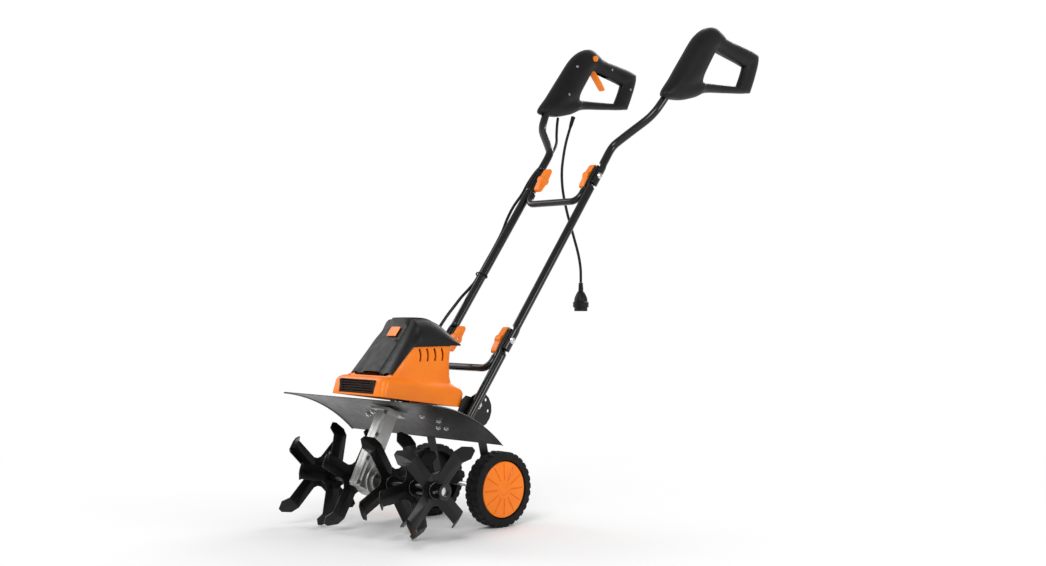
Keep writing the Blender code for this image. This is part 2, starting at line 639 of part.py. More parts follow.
def lap_points(bolt, x, upward):
    """Ring positions of a tube that starts at a lap joint and runs up or down the handle."""
    sign = 1 if upward else -1
    base = bolt + Vector((x, 0, 0))
    return [base + TUBE_AXIS * sign * step for step in (-LAP, 0.0, LAP, LAP + LAP_TAPER)]


def bolt_hole(name, side, bolt, parent):
    start, end = bolt + Vector((side * 0.07, 0, 0)), bolt + Vector((side * 0.13, 0, 0))
    return cylinder(name, BOLT_RADIUS + GAP, start, end, None, parent, 16)


INNER_LAYER = TUBE_X - TUBE_RADIUS + LAP_HALF_THICKNESS
OUTER_LAYER = TUBE_X + TUBE_RADIUS - LAP_HALF_THICKNESS


def make_tube(name, side, points, laps, parent):
    """A hollow handle tube with pressed laps; each lap is a bolt and the layer it takes."""
    tube = as_mesh(wire(name, points, TUBE_RADIUS, BLACK_ENAMEL, parent, 2, caps=False))
    origin = Vector(parent["machine"])
    for bolt, layer in laps:
        press_end(tube, bolt, side * layer, side * TUBE_X, TUBE_RADIUS)
    tube.location = -origin
    hollow(tube, TUBE_WALL)
    for i, (bolt, layer) in enumerate(laps):
        boolean(tube, bolt_hole(f"{name}_hole_{i}", side, bolt, parent))
    return tube


def make_crossbar(name, bolt, parent):
    """A U-shaped bar between the two tubes, its legs pressed flat under the knobs."""
    bend = 0.022
    legs = []
    for step in (LAP, 0.0, -CROSSBAR_LAP, -CROSSBAR_LAP - LAP_TAPER):
        legs.append(bolt + Vector((CROSSBAR_X, 0, 0)) + TUBE_AXIS * step)
    corner = arc((CROSSBAR_X - bend, -CROSSBAR_DROP + bend), bend, 0, -90, 4)
    legs += [bolt + Vector((x, 0, 0)) + TUBE_AXIS * s for x, s in corner]
    mirrored = [Vector((-p.x, p.y, p.z)) for p in reversed(legs)]
    bar = as_mesh(wire(name, legs + mirrored, CROSSBAR_RADIUS, BLACK_ENAMEL, parent, 2, caps=False))
    layer = TUBE_X - TUBE_RADIUS - GAP - LAP_HALF_THICKNESS
    for vert in bar.data.vertices:
        side = 1 if vert.co.x > 0 else -1
        along_tube = (vert.co - bolt).dot(TUBE_AXIS)
        share = min(1.0, max(0.0, (CROSSBAR_LAP + LAP_TAPER + along_tube) / LAP_TAPER))
        pressed = side * layer + (vert.co.x - side * CROSSBAR_X) * LAP_HALF_THICKNESS / CROSSBAR_RADIUS
        vert.co.x += (pressed - vert.co.x) * share
    bar.location = -Vector(parent["machine"])
    hollow(bar, TUBE_WALL)
    for side_name, side in SIDES:
        boolean(bar, bolt_hole(f"{name}_hole_{side_name}", side, bolt, parent))
    return bar


KNOB_FACE = TUBE_X - TUBE_RADIUS - 2 * GAP - 2 * LAP_HALF_THICKNESS - GAP


def make_knob(level, name, side, bolt, parent):
    """A wing knob on the inner face of a lap joint and the carriage bolt it tightens."""
    y, z = bolt.y, bolt.z
    slope = math.degrees(math.atan2(TUBE_AXIS.z, TUBE_AXIS.y))
    wings = []
    for turn in (0, 180):
        direction = math.radians(slope + turn)
        tip = (y + 0.028 * math.cos(direction), z + 0.028 * math.sin(direction))
        wings += arc(tip, 0.0062, slope + turn - 90, slope + turn + 90, 5)
        wings += arc((y, z), 0.0120, slope + turn + 40, slope + turn + 140, 5)
    depth = 0.0170
    knob_axis = pivot(f"knob_axis_{level}_{name}", (side * KNOB_FACE, y, z), parent)
    flat_plate(f"knob_{level}_{name}", wings, [(y, z, BOLT_RADIUS + GAP)], depth,
               side * (KNOB_FACE - depth / 2), ORANGE, knob_axis)
    outside = TUBE_X + TUBE_RADIUS + GAP
    shank = KNOB_FACE - depth + 0.002
    profile = [(0.0, outside + 0.0038), (0.0045, outside + 0.0034), (0.0075, outside), (BOLT_RADIUS, outside),
               (BOLT_RADIUS, shank), (0.0, shank)]
    turned(f"bolt_{level}_{name}", profile, (0, y, z), (side, 0, 0), STEEL, parent, 16, closed=False)


def grip_skin(side, half):
    """Rows of points over one half of a D-handle; half is +1 away from the machine's middle."""
    count = 4
    rows = []
    for (oy, oz), (iy, iz), depth in GRIP_STATIONS:
        row = []
        for k in range(count + 1):
            t = math.pi * k / count
            share = (1 - math.cos(t)) / 2
            x = side * (GRIP_X + half * (GAP / 2 + depth * math.sin(t) ** 0.8))
            row.append((x, oy + (iy - oy) * share, oz + (iz - oz) * share))
        rows.append(row)
    return rows


TUBE_ENTRY = Vector((0.1965, 0.702, 0.957))
TUBE_TOP = Vector((0.2010, 0.7235, 0.9890))


def make_grip_half(name, side, half_name, half, parent):
    rows = grip_skin(side, half)
    grip = loft(f"handle_{half_name}_{name}", rows + rows[:1], BLACK_PLASTIC, parent, GRIP_WALL,
                outward=(side * half, 0, 0))
    split_x = side * (GRIP_X + half * (GAP / 2 - 0.010))
    boolean(grip, block(f"grip_split_{half_name}_{name}", (0.020, 0.600, 0.400), (split_x, 0.86, 1.04), None,
                        parent))
    mirror = Vector((side, 1, 1))
    direction = (TUBE_TOP - TUBE_ENTRY).normalized()
    start, end = (TUBE_ENTRY - direction * 0.05) * mirror, (TUBE_TOP + direction * 0.004) * mirror
    boolean(grip, cylinder(f"tube_entry_{half_name}_{name}", TUBE_RADIUS + 0.0006, start, end, None, parent, 16))
    return grip


def make_upper_handle(name, side, parent):
    points = [Vector((side * abs(p.x), p.y, p.z)) for p in lap_points(UPPER_BOLT, TUBE_X, True)]
    bend = [(0.1020, 0.612, 0.829), (0.1060, 0.6230, 0.8440), (0.1200, 0.6330, 0.8580),
            (0.1720, 0.6650, 0.9025), (0.1850, 0.6770, 0.9200), (0.1910, 0.6880, 0.9360),
            tuple(TUBE_ENTRY), tuple(TUBE_TOP)]
    points += [Vector((side * x, y, z)) for x, y, z in bend]
    make_tube(f"upper_tube_{name}", side, points, [(UPPER_BOLT, OUTER_LAYER)], parent)
    outer = make_grip_half(name, side, "outer", 1, parent)
    inner = make_grip_half(name, side, "inner", -1, parent)
    return outer, inner


def make_handle():
    make_crossbar("lower_crossbar", LOWER_BOLT, machine)
    make_crossbar("upper_crossbar", UPPER_BOLT, mid_handle)
    halves = {}
    for name, side in SIDES:
        foot = on_tube(TUBE_FOOT_Z, TUBE_X * side)
        down = [Vector((side * p.x, p.y, p.z)) for p in lap_points(LOWER_BOLT, TUBE_X, False)]
        make_tube(f"lower_tube_{name}", side, down + [foot], [(LOWER_BOLT, INNER_LAYER)], machine)
        rise = [Vector((side * p.x, p.y, p.z)) for p in lap_points(LOWER_BOLT, TUBE_X, True)]
        top = [Vector((side * p.x, p.y, p.z)) for p in reversed(lap_points(UPPER_BOLT, TUBE_X, False))]
        make_tube(f"mid_tube_{name}", side, rise + top, [(LOWER_BOLT, OUTER_LAYER), (UPPER_BOLT, INNER_LAYER)],
                  mid_handle)
        upper = pivot(f"upper_handle_{name}", tuple(UPPER_BOLT), mid_handle)
        halves[name] = (upper, make_upper_handle(name, side, upper))
        make_knob("lower", name, side, LOWER_BOLT, machine)
        make_knob("upper", name, side, UPPER_BOLT, mid_handle)
    return halves


# ---- switch and cables ----------------------------------------------------------------------------
def make_switch(upper, halves):
    """Lever, lock-off button and switch in the right handle."""
    pivot_y, pivot_z = TRIGGER_PIVOT[1:]
    outline = arc((pivot_y, pivot_z), 0.0055, 45, 225, 7) + [(0.8995, 1.0505), (0.9120, 1.0370)]
    outline += arc((0.9165, 1.0405), 0.0040, -90, 30, 4) + [(0.9080, 1.0590)]
    flat_plate("trigger_lever", outline, [], 0.0144, -GRIP_X, ORANGE, trigger_axis)
    slot = block("trigger_slot", (0.0160, 0.074, 0.040), (-GRIP_X, 0.897, 1.0790), None, upper)
    button_y, button_z = 0.8640, 1.1130
    inner_x = -GRIP_X + 0.0110
    outer_x = -GRIP_X + 0.0290
    centre = ((inner_x + outer_x) / 2, button_y, button_z)
    button_axis = pivot("button_axis", centre, upper)
    cylinder("lock_button", 0.0075, (inner_x, button_y, button_z), (outer_x, button_y, button_z), ORANGE,
             button_axis, 20)
    hole = cylinder("button_hole", 0.0078, (-GRIP_X + 0.008, button_y, button_z),
                    (-GRIP_X + 0.04, button_y, button_z), None, upper)
    boolean(halves[1], hole)
    for half in halves:
        boolean(half, slot)
    block("switch_body", (0.0220, 0.0240, 0.0300), (-GRIP_X, 0.8150, 1.0720), BLACK_PLASTIC, upper,
          (-math.radians(38), 0, 0))


def make_cables(upper):
    """Supply cord with its plug and gland, and the motor cable in two lengths."""
    exit_point = Vector(CORD_ROUTE[0])
    heading = (Vector(CORD_ROUTE[1]) - exit_point).normalized()
    gland = [(0.0, 0.0287), (0.0058, 0.0287), (0.0045, 0.0), (0.0, 0.0)]
    turned("cord_gland", gland, exit_point - heading * GAP, -heading, BLACK_PLASTIC, upper, 14, closed=False)
    wire("supply_cord", smooth_route(CORD_ROUTE, 0.020), CORD_RADIUS, BLACK_PLASTIC, upper)
    end = Vector(CORD_ROUTE[-1])
    plug = [(0.0, -GAP), (0.0060, -GAP), (0.0075, -0.020), (0.0120, -0.030), (0.0165, -0.040), (0.0175, -0.050),
            (0.0205, -0.0505), (0.0205, -0.0640), (0.0170, -0.0650), (0.0170, -0.0740), (0.0150, -0.0740),
            (0.0150, -0.0600), (0.0, -0.0600)]
    turned("plug", plug, end, (0, 0, 1), BLACK_PLASTIC, upper, 14, closed=False)
    wire("motor_cable_upper", smooth_route(CABLE_UPPER_ROUTE, 0.026), CORD_RADIUS, BLACK_PLASTIC, mid_handle)
    wire("motor_cable_lower", smooth_route(CABLE_LOWER_ROUTE, 0.024), CORD_RADIUS, BLACK_PLASTIC, machine)


make_guard()
make_housing()
make_cover()
make_grille()
make_motor()
for half_name, half_side in SIDES:
    make_gearcase(half_name, half_side)
make_tines()
make_brackets()
make_wheel_bracket()
make_wheels()
handle_halves = make_handle()
right_upper, right_halves = handle_halves["right"]
make_switch(right_upper, right_halves)
make_cables(right_upper)
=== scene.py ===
"""Looks of the corded garden tiller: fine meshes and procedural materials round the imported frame.
Lengths are in metres in the frame's own axes; m() takes a point from the machine's axes, whose y = 0 is
the tine axis, as the design gives it."""
import json
import math

import bmesh
import bpy
from mathutils import Matrix, Vector


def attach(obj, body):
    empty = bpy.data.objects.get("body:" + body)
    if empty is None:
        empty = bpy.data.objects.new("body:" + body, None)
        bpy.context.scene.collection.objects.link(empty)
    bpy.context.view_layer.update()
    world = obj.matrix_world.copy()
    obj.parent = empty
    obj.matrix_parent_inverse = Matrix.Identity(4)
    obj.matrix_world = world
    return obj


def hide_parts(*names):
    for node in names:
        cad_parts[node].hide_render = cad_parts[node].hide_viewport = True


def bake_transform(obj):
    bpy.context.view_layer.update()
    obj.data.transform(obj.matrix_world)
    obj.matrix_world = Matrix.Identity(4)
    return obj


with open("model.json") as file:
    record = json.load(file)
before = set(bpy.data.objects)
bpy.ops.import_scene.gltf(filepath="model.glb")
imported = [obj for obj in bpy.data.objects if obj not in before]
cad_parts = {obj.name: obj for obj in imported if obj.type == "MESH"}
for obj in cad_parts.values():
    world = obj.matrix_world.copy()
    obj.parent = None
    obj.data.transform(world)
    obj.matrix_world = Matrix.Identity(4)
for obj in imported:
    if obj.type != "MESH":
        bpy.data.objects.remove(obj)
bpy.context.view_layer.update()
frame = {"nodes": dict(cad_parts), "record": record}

# ---- driving dimensions, as in the design ---------------------------------------------------------
ORIGIN_BEHIND_TINES = 0.4690
SIDES = (("left", 1), ("right", -1))
TINE_AXIS_Z = 0.1103
TINE_HALF_WIDTH = 0.2285
HUB_TUBE_RADIUS = 0.0162
SHAFT_RADIUS = 0.0095
STAR_PLANES = (0.062, 0.135, 0.197)
WORM_TILT = math.radians(26.5)
WORM_FOOT = Vector((0.0, -0.030, 0.110))
WORM_AXIS = Vector((0.0, math.sin(WORM_TILT), math.cos(WORM_TILT)))
FORWARD_OF_WORM = Vector((0.0, -math.cos(WORM_TILT), math.sin(WORM_TILT)))
GUARD_CENTRE = (-0.0923, -0.0364)
GUARD_BEND_RADIUS = 0.323
GUARD_HALF_WIDTH = 0.251
GUARD_ANGLES = (82.8, 45.3)
TUBE_RADIUS = 0.0095
TUBE_X = 0.102
TUBE_AXIS = Vector((0.0, 0.742, 1.0)).normalized()
LOWER_BOLT = Vector((0.0, 0.742 * 0.396 - 0.003, 0.396))
UPPER_BOLT = Vector((0.0, 0.742 * 0.770 - 0.003, 0.770))
TUBE_FOOT = Vector((0.0, 0.742 * 0.236 - 0.003, 0.236))
LAP = 0.026
LAP_TAPER = 0.010
LAP_HALF_THICKNESS = 0.0044
CROSSBAR_RADIUS = 0.0080
CROSSBAR_X = 0.0838
CROSSBAR_LAP = 0.036
CROSSBAR_DROP = 0.074
INNER_LAYER = TUBE_X - TUBE_RADIUS + LAP_HALF_THICKNESS
OUTER_LAYER = TUBE_X + TUBE_RADIUS - LAP_HALF_THICKNESS
CROSSBAR_LAYER = 0.0878
WHEEL_CENTRE = (0.111, 0.250, 0.0803)
WHEEL_RADIUS = 0.0803
WHEEL_HALF_WIDTH = 0.019
GRIP_X = 0.203
GRIP_WALL = 0.0024
GRIP_REAR = 1.0478
GRIP_SCREWS = ((0.800, 1.085, 0.0225), (0.768, 1.010, 0.0235), (0.940, 1.094, 0.0160),
               (1.016, 1.050, 0.0135))
SEAM = 0.0003
CORD_RADIUS = 0.0035
TUBE_ENTRY = Vector((0.1965, 0.702, 0.957))
TUBE_TOP = Vector((0.2010, 0.7235, 0.9890))

GRIP_STATIONS = (
    ((0.680, 0.958), (0.826, 1.008), 0.021), ((0.716, 1.003), (0.829, 1.022), 0.024),
    ((0.760, 1.058), (0.845, 1.046), 0.024), ((0.800, 1.106), (0.860, 1.067), 0.024),
    ((0.834, 1.131), (0.867, 1.077), 0.024), ((0.865, 1.140), (0.873, 1.083), 0.023),
    ((0.893, 1.131), (0.886, 1.082), 0.020), ((0.925, 1.117), (0.915, 1.076), 0.017),
    ((1.028, 1.100), (0.982, 1.061), 0.016), ((1.048, 1.082), (0.989, 1.054), 0.014),
    ((1.018, 1.006), (0.967, 1.012), 0.012), ((1.002, 0.995), (0.958, 1.008), 0.011),
    ((0.920, 0.987), (0.910, 1.0055), 0.010), ((0.838, 0.979), (0.842, 1.003), 0.013),
    ((0.790, 0.962), (0.831, 1.003), 0.018), ((0.733, 0.951), (0.8265, 1.005), 0.020))

CORD_ROUTE = (
    (-0.2000, 0.7930, 0.9300), (-0.2000, 0.7860, 0.9130), (-0.2000, 0.7790, 0.8950),
    (-0.2000, 0.7720, 0.8720), (-0.2000, 0.7660, 0.8450), (-0.2000, 0.7620, 0.8180),
    (-0.2000, 0.7620, 0.7900), (-0.2000, 0.7660, 0.7600), (-0.2000, 0.7740, 0.7300),
    (-0.2000, 0.7840, 0.7000), (-0.2000, 0.7960, 0.6700), (-0.2000, 0.8080, 0.6400),
    (-0.2000, 0.8180, 0.6150), (-0.2000, 0.8260, 0.5900), (-0.2000, 0.8310, 0.5650),
    (-0.2000, 0.8320, 0.5450), (-0.2000, 0.8320, 0.5280))
CABLE_UPPER_ROUTE = (
    (-0.1960, 0.7430, 0.9480), (-0.1880, 0.7320, 0.9280), (-0.1720, 0.7140, 0.9010),
    (-0.1490, 0.6900, 0.8760), (-0.1290, 0.6580, 0.8510), (-0.1190, 0.6240, 0.8240),
    (-0.1200, 0.5900, 0.7960), (-0.1220, 0.5660, 0.7680), (-0.1220, 0.5440, 0.7380),
    (-0.1260, 0.5200, 0.7080), (-0.1250, 0.4980, 0.6770), (-0.1185, 0.4760, 0.6460),
    (-0.1175, 0.4500, 0.6090), (-0.1175, 0.4230, 0.5730), (-0.1175, 0.3990, 0.5400))
CABLE_LOWER_ROUTE = (
    (-0.1175, 0.3986, 0.5395), (-0.1175, 0.3850, 0.5230), (-0.1165, 0.3660, 0.5070),
    (-0.1110, 0.3400, 0.4900), (-0.0970, 0.3080, 0.4710), (-0.0780, 0.2680, 0.4480),
    (-0.0600, 0.2320, 0.4250), (-0.0490, 0.2060, 0.4040), (-0.0450, 0.1850, 0.3900))


def m(point):
    """A point in the machine's axes, as a point in the frame."""
    x, y, z = point
    return Vector((x, y - ORIGIN_BEHIND_TINES, z))


# ---- camera, floor and light ----------------------------------------------------------------------
def make_camera():
    data = bpy.data.cameras.new("camera")
    data.sensor_width = 36.0
    data.lens = 46.61
    camera = bpy.data.objects.new("camera", data)
    bpy.context.scene.collection.objects.link(camera)
    camera.location = m((2.232, -1.724, 0.486))
    camera.rotation_euler = (math.radians(90.67), 0.0, math.radians(46.02))
    bpy.context.scene.camera = camera


def make_stage():
    bpy.ops.mesh.primitive_plane_add(size=60.0, location=(0, 0, 0))
    floor = bpy.context.object
    floor.name = "floor"
    floor.data.materials.append(floor_material())
    world = bpy.data.worlds.new("studio")
    world.use_nodes = True
    tree = world.node_tree
    background = tree.nodes["Background"]
    background.inputs["Color"].default_value = (1.0, 1.0, 1.0, 1.0)
    seen = tree.nodes.new("ShaderNodeLightPath")
    strength = tree.nodes.new("ShaderNodeMapRange")
    strength.inputs["To Min"].default_value = 0.50
    strength.inputs["To Max"].default_value = 1.0
    tree.links.new(seen.outputs["Is Camera Ray"], strength.inputs["Value"])
    tree.links.new(strength.outputs["Result"], background.inputs["Strength"])
    bpy.context.scene.world = world
    for name, place, size, power in (("key", (1.6, -2.6, 2.6), 1.6, 55), ("fill", (-2.6, -1.2, 1.8), 1.8, 28),
                                     ("back", (-0.8, 2.6, 2.4), 1.6, 40), ("side", (3.0, 0.6, 1.2), 1.0, 22)):
        light = bpy.data.lights.new(name, "AREA")
        light.size = size
        light.energy = power
        lamp = bpy.data.objects.new(name, light)
        bpy.context.scene.collection.objects.link(lamp)
        lamp.location = place
        lamp.rotation_euler = (Vector((0, 0, 0.45)) - Vector(place)).to_track_quat("-Z", "Y").to_euler()
    bpy.context.scene.view_settings.view_transform = "Standard"


# ---- materials ------------------------------------------------------------------------------------
def floor_material():
    """Matt white near the machine, glowing into the backdrop further out."""
    material = bpy.data.materials.new("floor")
    material.use_nodes = True
    tree = material.node_tree
    shader = tree.nodes["Principled BSDF"]
    shader.inputs["Base Color"].default_value = (0.93, 0.93, 0.93, 1.0)
    shader.inputs["Roughness"].default_value = 0.9
    coords = tree.nodes.new("ShaderNodeTexCoord")
    length = tree.nodes.new("ShaderNodeVectorMath")
    length.operation = "LENGTH"
    tree.links.new(coords.outputs["Object"], length.inputs[0])
    fade = tree.nodes.new("ShaderNodeMapRange")
    fade.inputs["From Min"].default_value = 0.5
    fade.inputs["From Max"].default_value = 1.8
    tree.links.new(length.outputs["Value"], fade.inputs["Value"])
    glow = tree.nodes.new("ShaderNodeEmission")
    mix = tree.nodes.new("ShaderNodeMixShader")
    tree.links.new(fade.outputs["Result"], mix.inputs["Fac"])
    tree.links.new(shader.outputs["BSDF"], mix.inputs[1])
    tree.links.new(glow.outputs["Emission"], mix.inputs[2])
    tree.links.new(mix.outputs["Shader"], tree.nodes["Material Output"].inputs["Surface"])
    return material


def noise(tree, coords, scale, detail=4.0):
    node = tree.nodes.new("ShaderNodeTexNoise")
    node.inputs["Scale"].default_value = scale
    node.inputs["Detail"].default_value = detail
    tree.links.new(coords.outputs["Object"], node.inputs["Vector"])
    return node


def spread(tree, source, low, high):
    node = tree.nodes.new("ShaderNodeMapRange")
    node.inputs["From Min"].default_value = 0.3
    node.inputs["From Max"].default_value = 0.7
    node.inputs["To Min"].default_value = low
    node.inputs["To Max"].default_value = high
    tree.links.new(source, node.inputs["Value"])
    return node


def surface(name, colour, shade, roughness, metallic=0.0, grain=900.0, bump=0.1, coat=0.0, wear=None,
            specular=0.5):
    """A material with mottled colour, uneven gloss, fine grain and, if given, a worn colour on edges."""
    material = bpy.data.materials.new(name)
    material.use_nodes = True
    tree = material.node_tree
    shader = tree.nodes["Principled BSDF"]
    coords = tree.nodes.new("ShaderNodeTexCoord")
    mix = tree.nodes.new("ShaderNodeMix")
    mix.data_type = "RGBA"
    mix.inputs[6].default_value = (*colour, 1.0)
    mix.inputs[7].default_value = (*shade, 1.0)
    blotches = spread(tree, noise(tree, coords, 22.0).outputs["Fac"], 0.0, 1.0)
    tree.links.new(blotches.outputs["Result"], mix.inputs[0])
    tint = mix.outputs[2]
    if wear:
        geometry = tree.nodes.new("ShaderNodeNewGeometry")
        edge = tree.nodes.new("ShaderNodeMapRange")
        edge.inputs["From Min"].default_value = 0.56
        edge.inputs["From Max"].default_value = 0.66
        tree.links.new(geometry.outputs["Pointiness"], edge.inputs["Value"])
        rub = tree.nodes.new("ShaderNodeMath")
        rub.operation = "MULTIPLY"
        scuffs = spread(tree, noise(tree, coords, 120.0).outputs["Fac"], 0.0, 0.8)
        tree.links.new(edge.outputs["Result"], rub.inputs[0])
        tree.links.new(scuffs.outputs["Result"], rub.inputs[1])
        worn = tree.nodes.new("ShaderNodeMix")
        worn.data_type = "RGBA"
        worn.inputs[7].default_value = (*wear, 1.0)
        tree.links.new(rub.outputs["Value"], worn.inputs[0])
        tree.links.new(tint, worn.inputs[6])
        tint = worn.outputs[2]
    tree.links.new(tint, shader.inputs["Base Color"])
    gloss = spread(tree, noise(tree, coords, 60.0).outputs["Fac"], roughness * 0.85, roughness * 1.15)
    tree.links.new(gloss.outputs["Result"], shader.inputs["Roughness"])
    shader.inputs["Metallic"].default_value = metallic
    shader.inputs["Specular IOR Level"].default_value = specular
    shader.inputs["Coat Weight"].default_value = coat
    shader.inputs["Coat Roughness"].default_value = 0.08
    relief = tree.nodes.new("ShaderNodeBump")
    relief.inputs["Strength"].default_value = bump
    relief.inputs["Distance"].default_value = 0.0004
    tree.links.new(noise(tree, coords, grain, 2.0).outputs["Fac"], relief.inputs["Height"])
    tree.links.new(relief.outputs["Normal"], shader.inputs["Normal"])
    return material


def make_materials():
    return {
        "orange_plastic": surface("orange_plastic", (0.95, 0.225, 0.003), (0.88, 0.190, 0.002), 0.34,
                                  grain=1400, bump=0.06, coat=0.10, specular=0.3),
        "black_plastic": surface("black_plastic", (0.007, 0.007, 0.007), (0.004, 0.004, 0.004), 0.42,
                                 grain=1600, bump=0.18, specular=0.22),
        "black_enamel": surface("black_enamel", (0.004, 0.004, 0.004), (0.003, 0.003, 0.003), 0.18, grain=500,
                                bump=0.04, coat=0.35, specular=0.25),
        "tine_paint": surface("tine_paint", (0.005, 0.005, 0.005), (0.003, 0.003, 0.003), 0.34, grain=420,
                              bump=0.12, coat=0.1, wear=(0.04, 0.04, 0.04), specular=0.22),
        "black_powder": surface("black_powder", (0.007, 0.007, 0.007), (0.005, 0.005, 0.005), 0.34, grain=700,
                                bump=0.14, wear=(0.03, 0.03, 0.03), specular=0.35),
        "cast_aluminium": surface("cast_aluminium", (0.62, 0.62, 0.60), (0.50, 0.50, 0.49), 0.42, 1.0, 380,
                                  0.35),
        "bright_steel": surface("bright_steel", (0.72, 0.72, 0.71), (0.62, 0.62, 0.61), 0.24, 1.0, 600, 0.05),
        "dark_steel": surface("dark_steel", (0.20, 0.20, 0.21), (0.14, 0.14, 0.14), 0.40, 1.0, 600, 0.10),
        "copper": surface("copper", (0.72, 0.33, 0.15), (0.60, 0.26, 0.11), 0.30, 1.0, 500, 0.15),
        "bronze": surface("bronze", (0.62, 0.40, 0.17), (0.52, 0.32, 0.13), 0.34, 1.0, 500, 0.10),
        "tyre": surface("tyre", (0.006, 0.006, 0.006), (0.004, 0.004, 0.004), 0.62, grain=800, bump=0.25,
                        specular=0.2),
        "cord_jacket": surface("cord_jacket", (0.005, 0.005, 0.005), (0.004, 0.004, 0.004), 0.42, grain=900,
                               bump=0.10, specular=0.25)}


def dress_nodes(looks):
    """Give every carried-over node the finish of its slot; the painted tines have their own."""
    for part in frame["record"]["subparts"]:
        obj = frame["nodes"][part["node"]]
        look = "tine_paint" if part["node"].startswith(("tine_inner", "tine_middle", "tine_outer")) \
            else part["material_slot"]
        obj.data.materials.clear()
        obj.data.materials.append(looks[look])


# ---- piece helpers --------------------------------------------------------------------------------
def add_piece(name, mesh, look, body, replaced=(), sharp=35):
    """Stand a mesh in the scene as a visible piece of a body, in place of the CAD nodes it replaces."""
    obj = bpy.data.objects.new(name, mesh)
    bpy.context.scene.collection.objects.link(obj)
    mesh.materials.clear()
    mesh.materials.append(LOOKS[look])
    mesh.shade_smooth()
    mesh.set_sharp_from_angle(angle=math.radians(sharp))
    if body:
        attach(obj, body)
    if replaced:
        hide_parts(*replaced)
    return obj


def to_mesh(name, bm):
    bmesh.ops.remove_doubles(bm, verts=bm.verts, dist=0.00001)
    bmesh.ops.recalc_face_normals(bm, faces=bm.faces)
    mesh = bpy.data.meshes.new(name)
    bm.to_mesh(mesh)
    bm.free()
    return mesh


def bevel(obj, width, segments=2, angle=30):
    modifier = obj.modifiers.new("rounded edges", "BEVEL")
    modifier.width = width
    modifier.segments = segments
    modifier.limit_method = "ANGLE"
    modifier.angle_limit = math.radians(angle)
    modifier.use_clamp_overlap = True
    modifier.harden_normals = False
    return obj


def refine(node, look, body, width, segments=2, sharp=35):
    """Stand a copy of a CAD node in its place, with rounded edges."""
    source = frame["nodes"][node]
    bm = bmesh.new()
    bm.from_mesh(source.data)
    bm.transform(source.matrix_world)
    bmesh.ops.remove_doubles(bm, verts=bm.verts, dist=0.00002)
    bmesh.ops.dissolve_limit(bm, angle_limit=math.radians(1), verts=bm.verts, edges=bm.edges)
    obj = add_piece(f"{node}_body", to_mesh(node, bm), look, body, (node,), sharp=sharp)
    return bevel(obj, width, segments)


def ring_faces(bm, before, after):
    count = len(before)
    for i in range(count):
        j = (i + 1) % count
        bm.faces.new((before[i], before[j], after[j], after[i]))


def swept(name, points, radius, sides=24):
    """A round bar through points, its rings kept square to the path."""
    bm = bmesh.new()
    points = [Vector(p) for p in points]
    up = Vector((1, 0, 0))
    previous = None
    for i, point in enumerate(points):
        ahead = points[min(i + 1, len(points) - 1)]
        behind = points[max(i - 1, 0)]
        tangent = (ahead - behind).normalized()
        up = (up - tangent * up.dot(tangent)).normalized()
        across = tangent.cross(up)
        ring = []
        for k in range(sides):
            angle = 2 * math.pi * k / sides
            ring.append(bm.verts.new(point + radius * (up * math.cos(angle) + across * math.sin(angle))))
        if previous:
            ring_faces(bm, previous, ring)
        else:
            bm.faces.new(ring)
        previous = ring
    bm.faces.new(previous)
    return to_mesh(name, bm)


def turned(name, profile, centre, axis, steps=48, wave=None):
    """A (radius, height) profile turned about an axis; a closed loop where its ends meet off the axis."""
    bm = bmesh.new()
    turn = Vector(axis).to_track_quat("Z", "Y").to_matrix().to_4x4()
    place = Matrix.Translation(m(centre)) @ turn
    rows = []
    for radius, height in profile:
        row = []
        for k in range(steps):
            angle = 2 * math.pi * k / steps
            r, h = wave(radius, height, angle) if wave else (radius, height)
            row.append(bm.verts.new(place @ Vector((r * math.cos(angle), r * math.sin(angle), h))))
        rows.append(row)
    for before, after in zip(rows, rows[1:]):
        ring_faces(bm, before, after)
    if profile[0][0] > 0.0001:
        ring_faces(bm, rows[-1], rows[0])
    bmesh.ops.remove_doubles(bm, verts=bm.verts, dist=0.00001)
    bmesh.ops.dissolve_degenerate(bm, edges=bm.edges, dist=0.000001)
    return to_mesh(name, bm)


def catmull(a, b, c, d, t):
    return 0.5 * (2 * b + (c - a) * t + (2 * a - 5 * b + 4 * c - d) * t ** 2
                  + (3 * b - a - 3 * c + d) * t ** 3)


def smooth_route(points, steps=8):
    route = [Vector(point) for point in points]
    ends = [2 * route[0] - route[1]] + route + [2 * route[-1] - route[-2]]
    fine = [catmull(a, b, c, d, step / steps) for a, b, c, d in zip(ends, ends[1:], ends[2:], ends[3:])
            for step in range(steps)]
    return fine + [route[-1]]


def straight(start, end, steps):
    return [start.lerp(end, i / steps) for i in range(steps)]


def cut(obj, cutter_mesh, name):
    cutter = bpy.data.objects.new(name, cutter_mesh)
    bpy.context.scene.collection.objects.link(cutter)
    modifier = obj.modifiers.new("cut", "BOOLEAN")
    modifier.object = cutter
    bpy.context.view_layer.update()
    bake(obj)
    bpy.data.objects.remove(cutter, do_unlink=True)


def bake(obj):
    """Apply an object's modifiers."""
    depsgraph = bpy.context.evaluated_depsgraph_get()
    mesh = bpy.data.meshes.new_from_object(obj.evaluated_get(depsgraph), depsgraph=depsgraph)
    obj.modifiers.clear()
    obj.data = mesh


def box_mesh(name, size, centre, turn=None):
    bm = bmesh.new()
    bmesh.ops.create_cube(bm, size=1.0)
    bmesh.ops.scale(bm, vec=size, verts=bm.verts)
    bm.transform(Matrix.Translation(m(centre)) @ (turn or Matrix.Identity(4)))
    return to_mesh(name, bm)


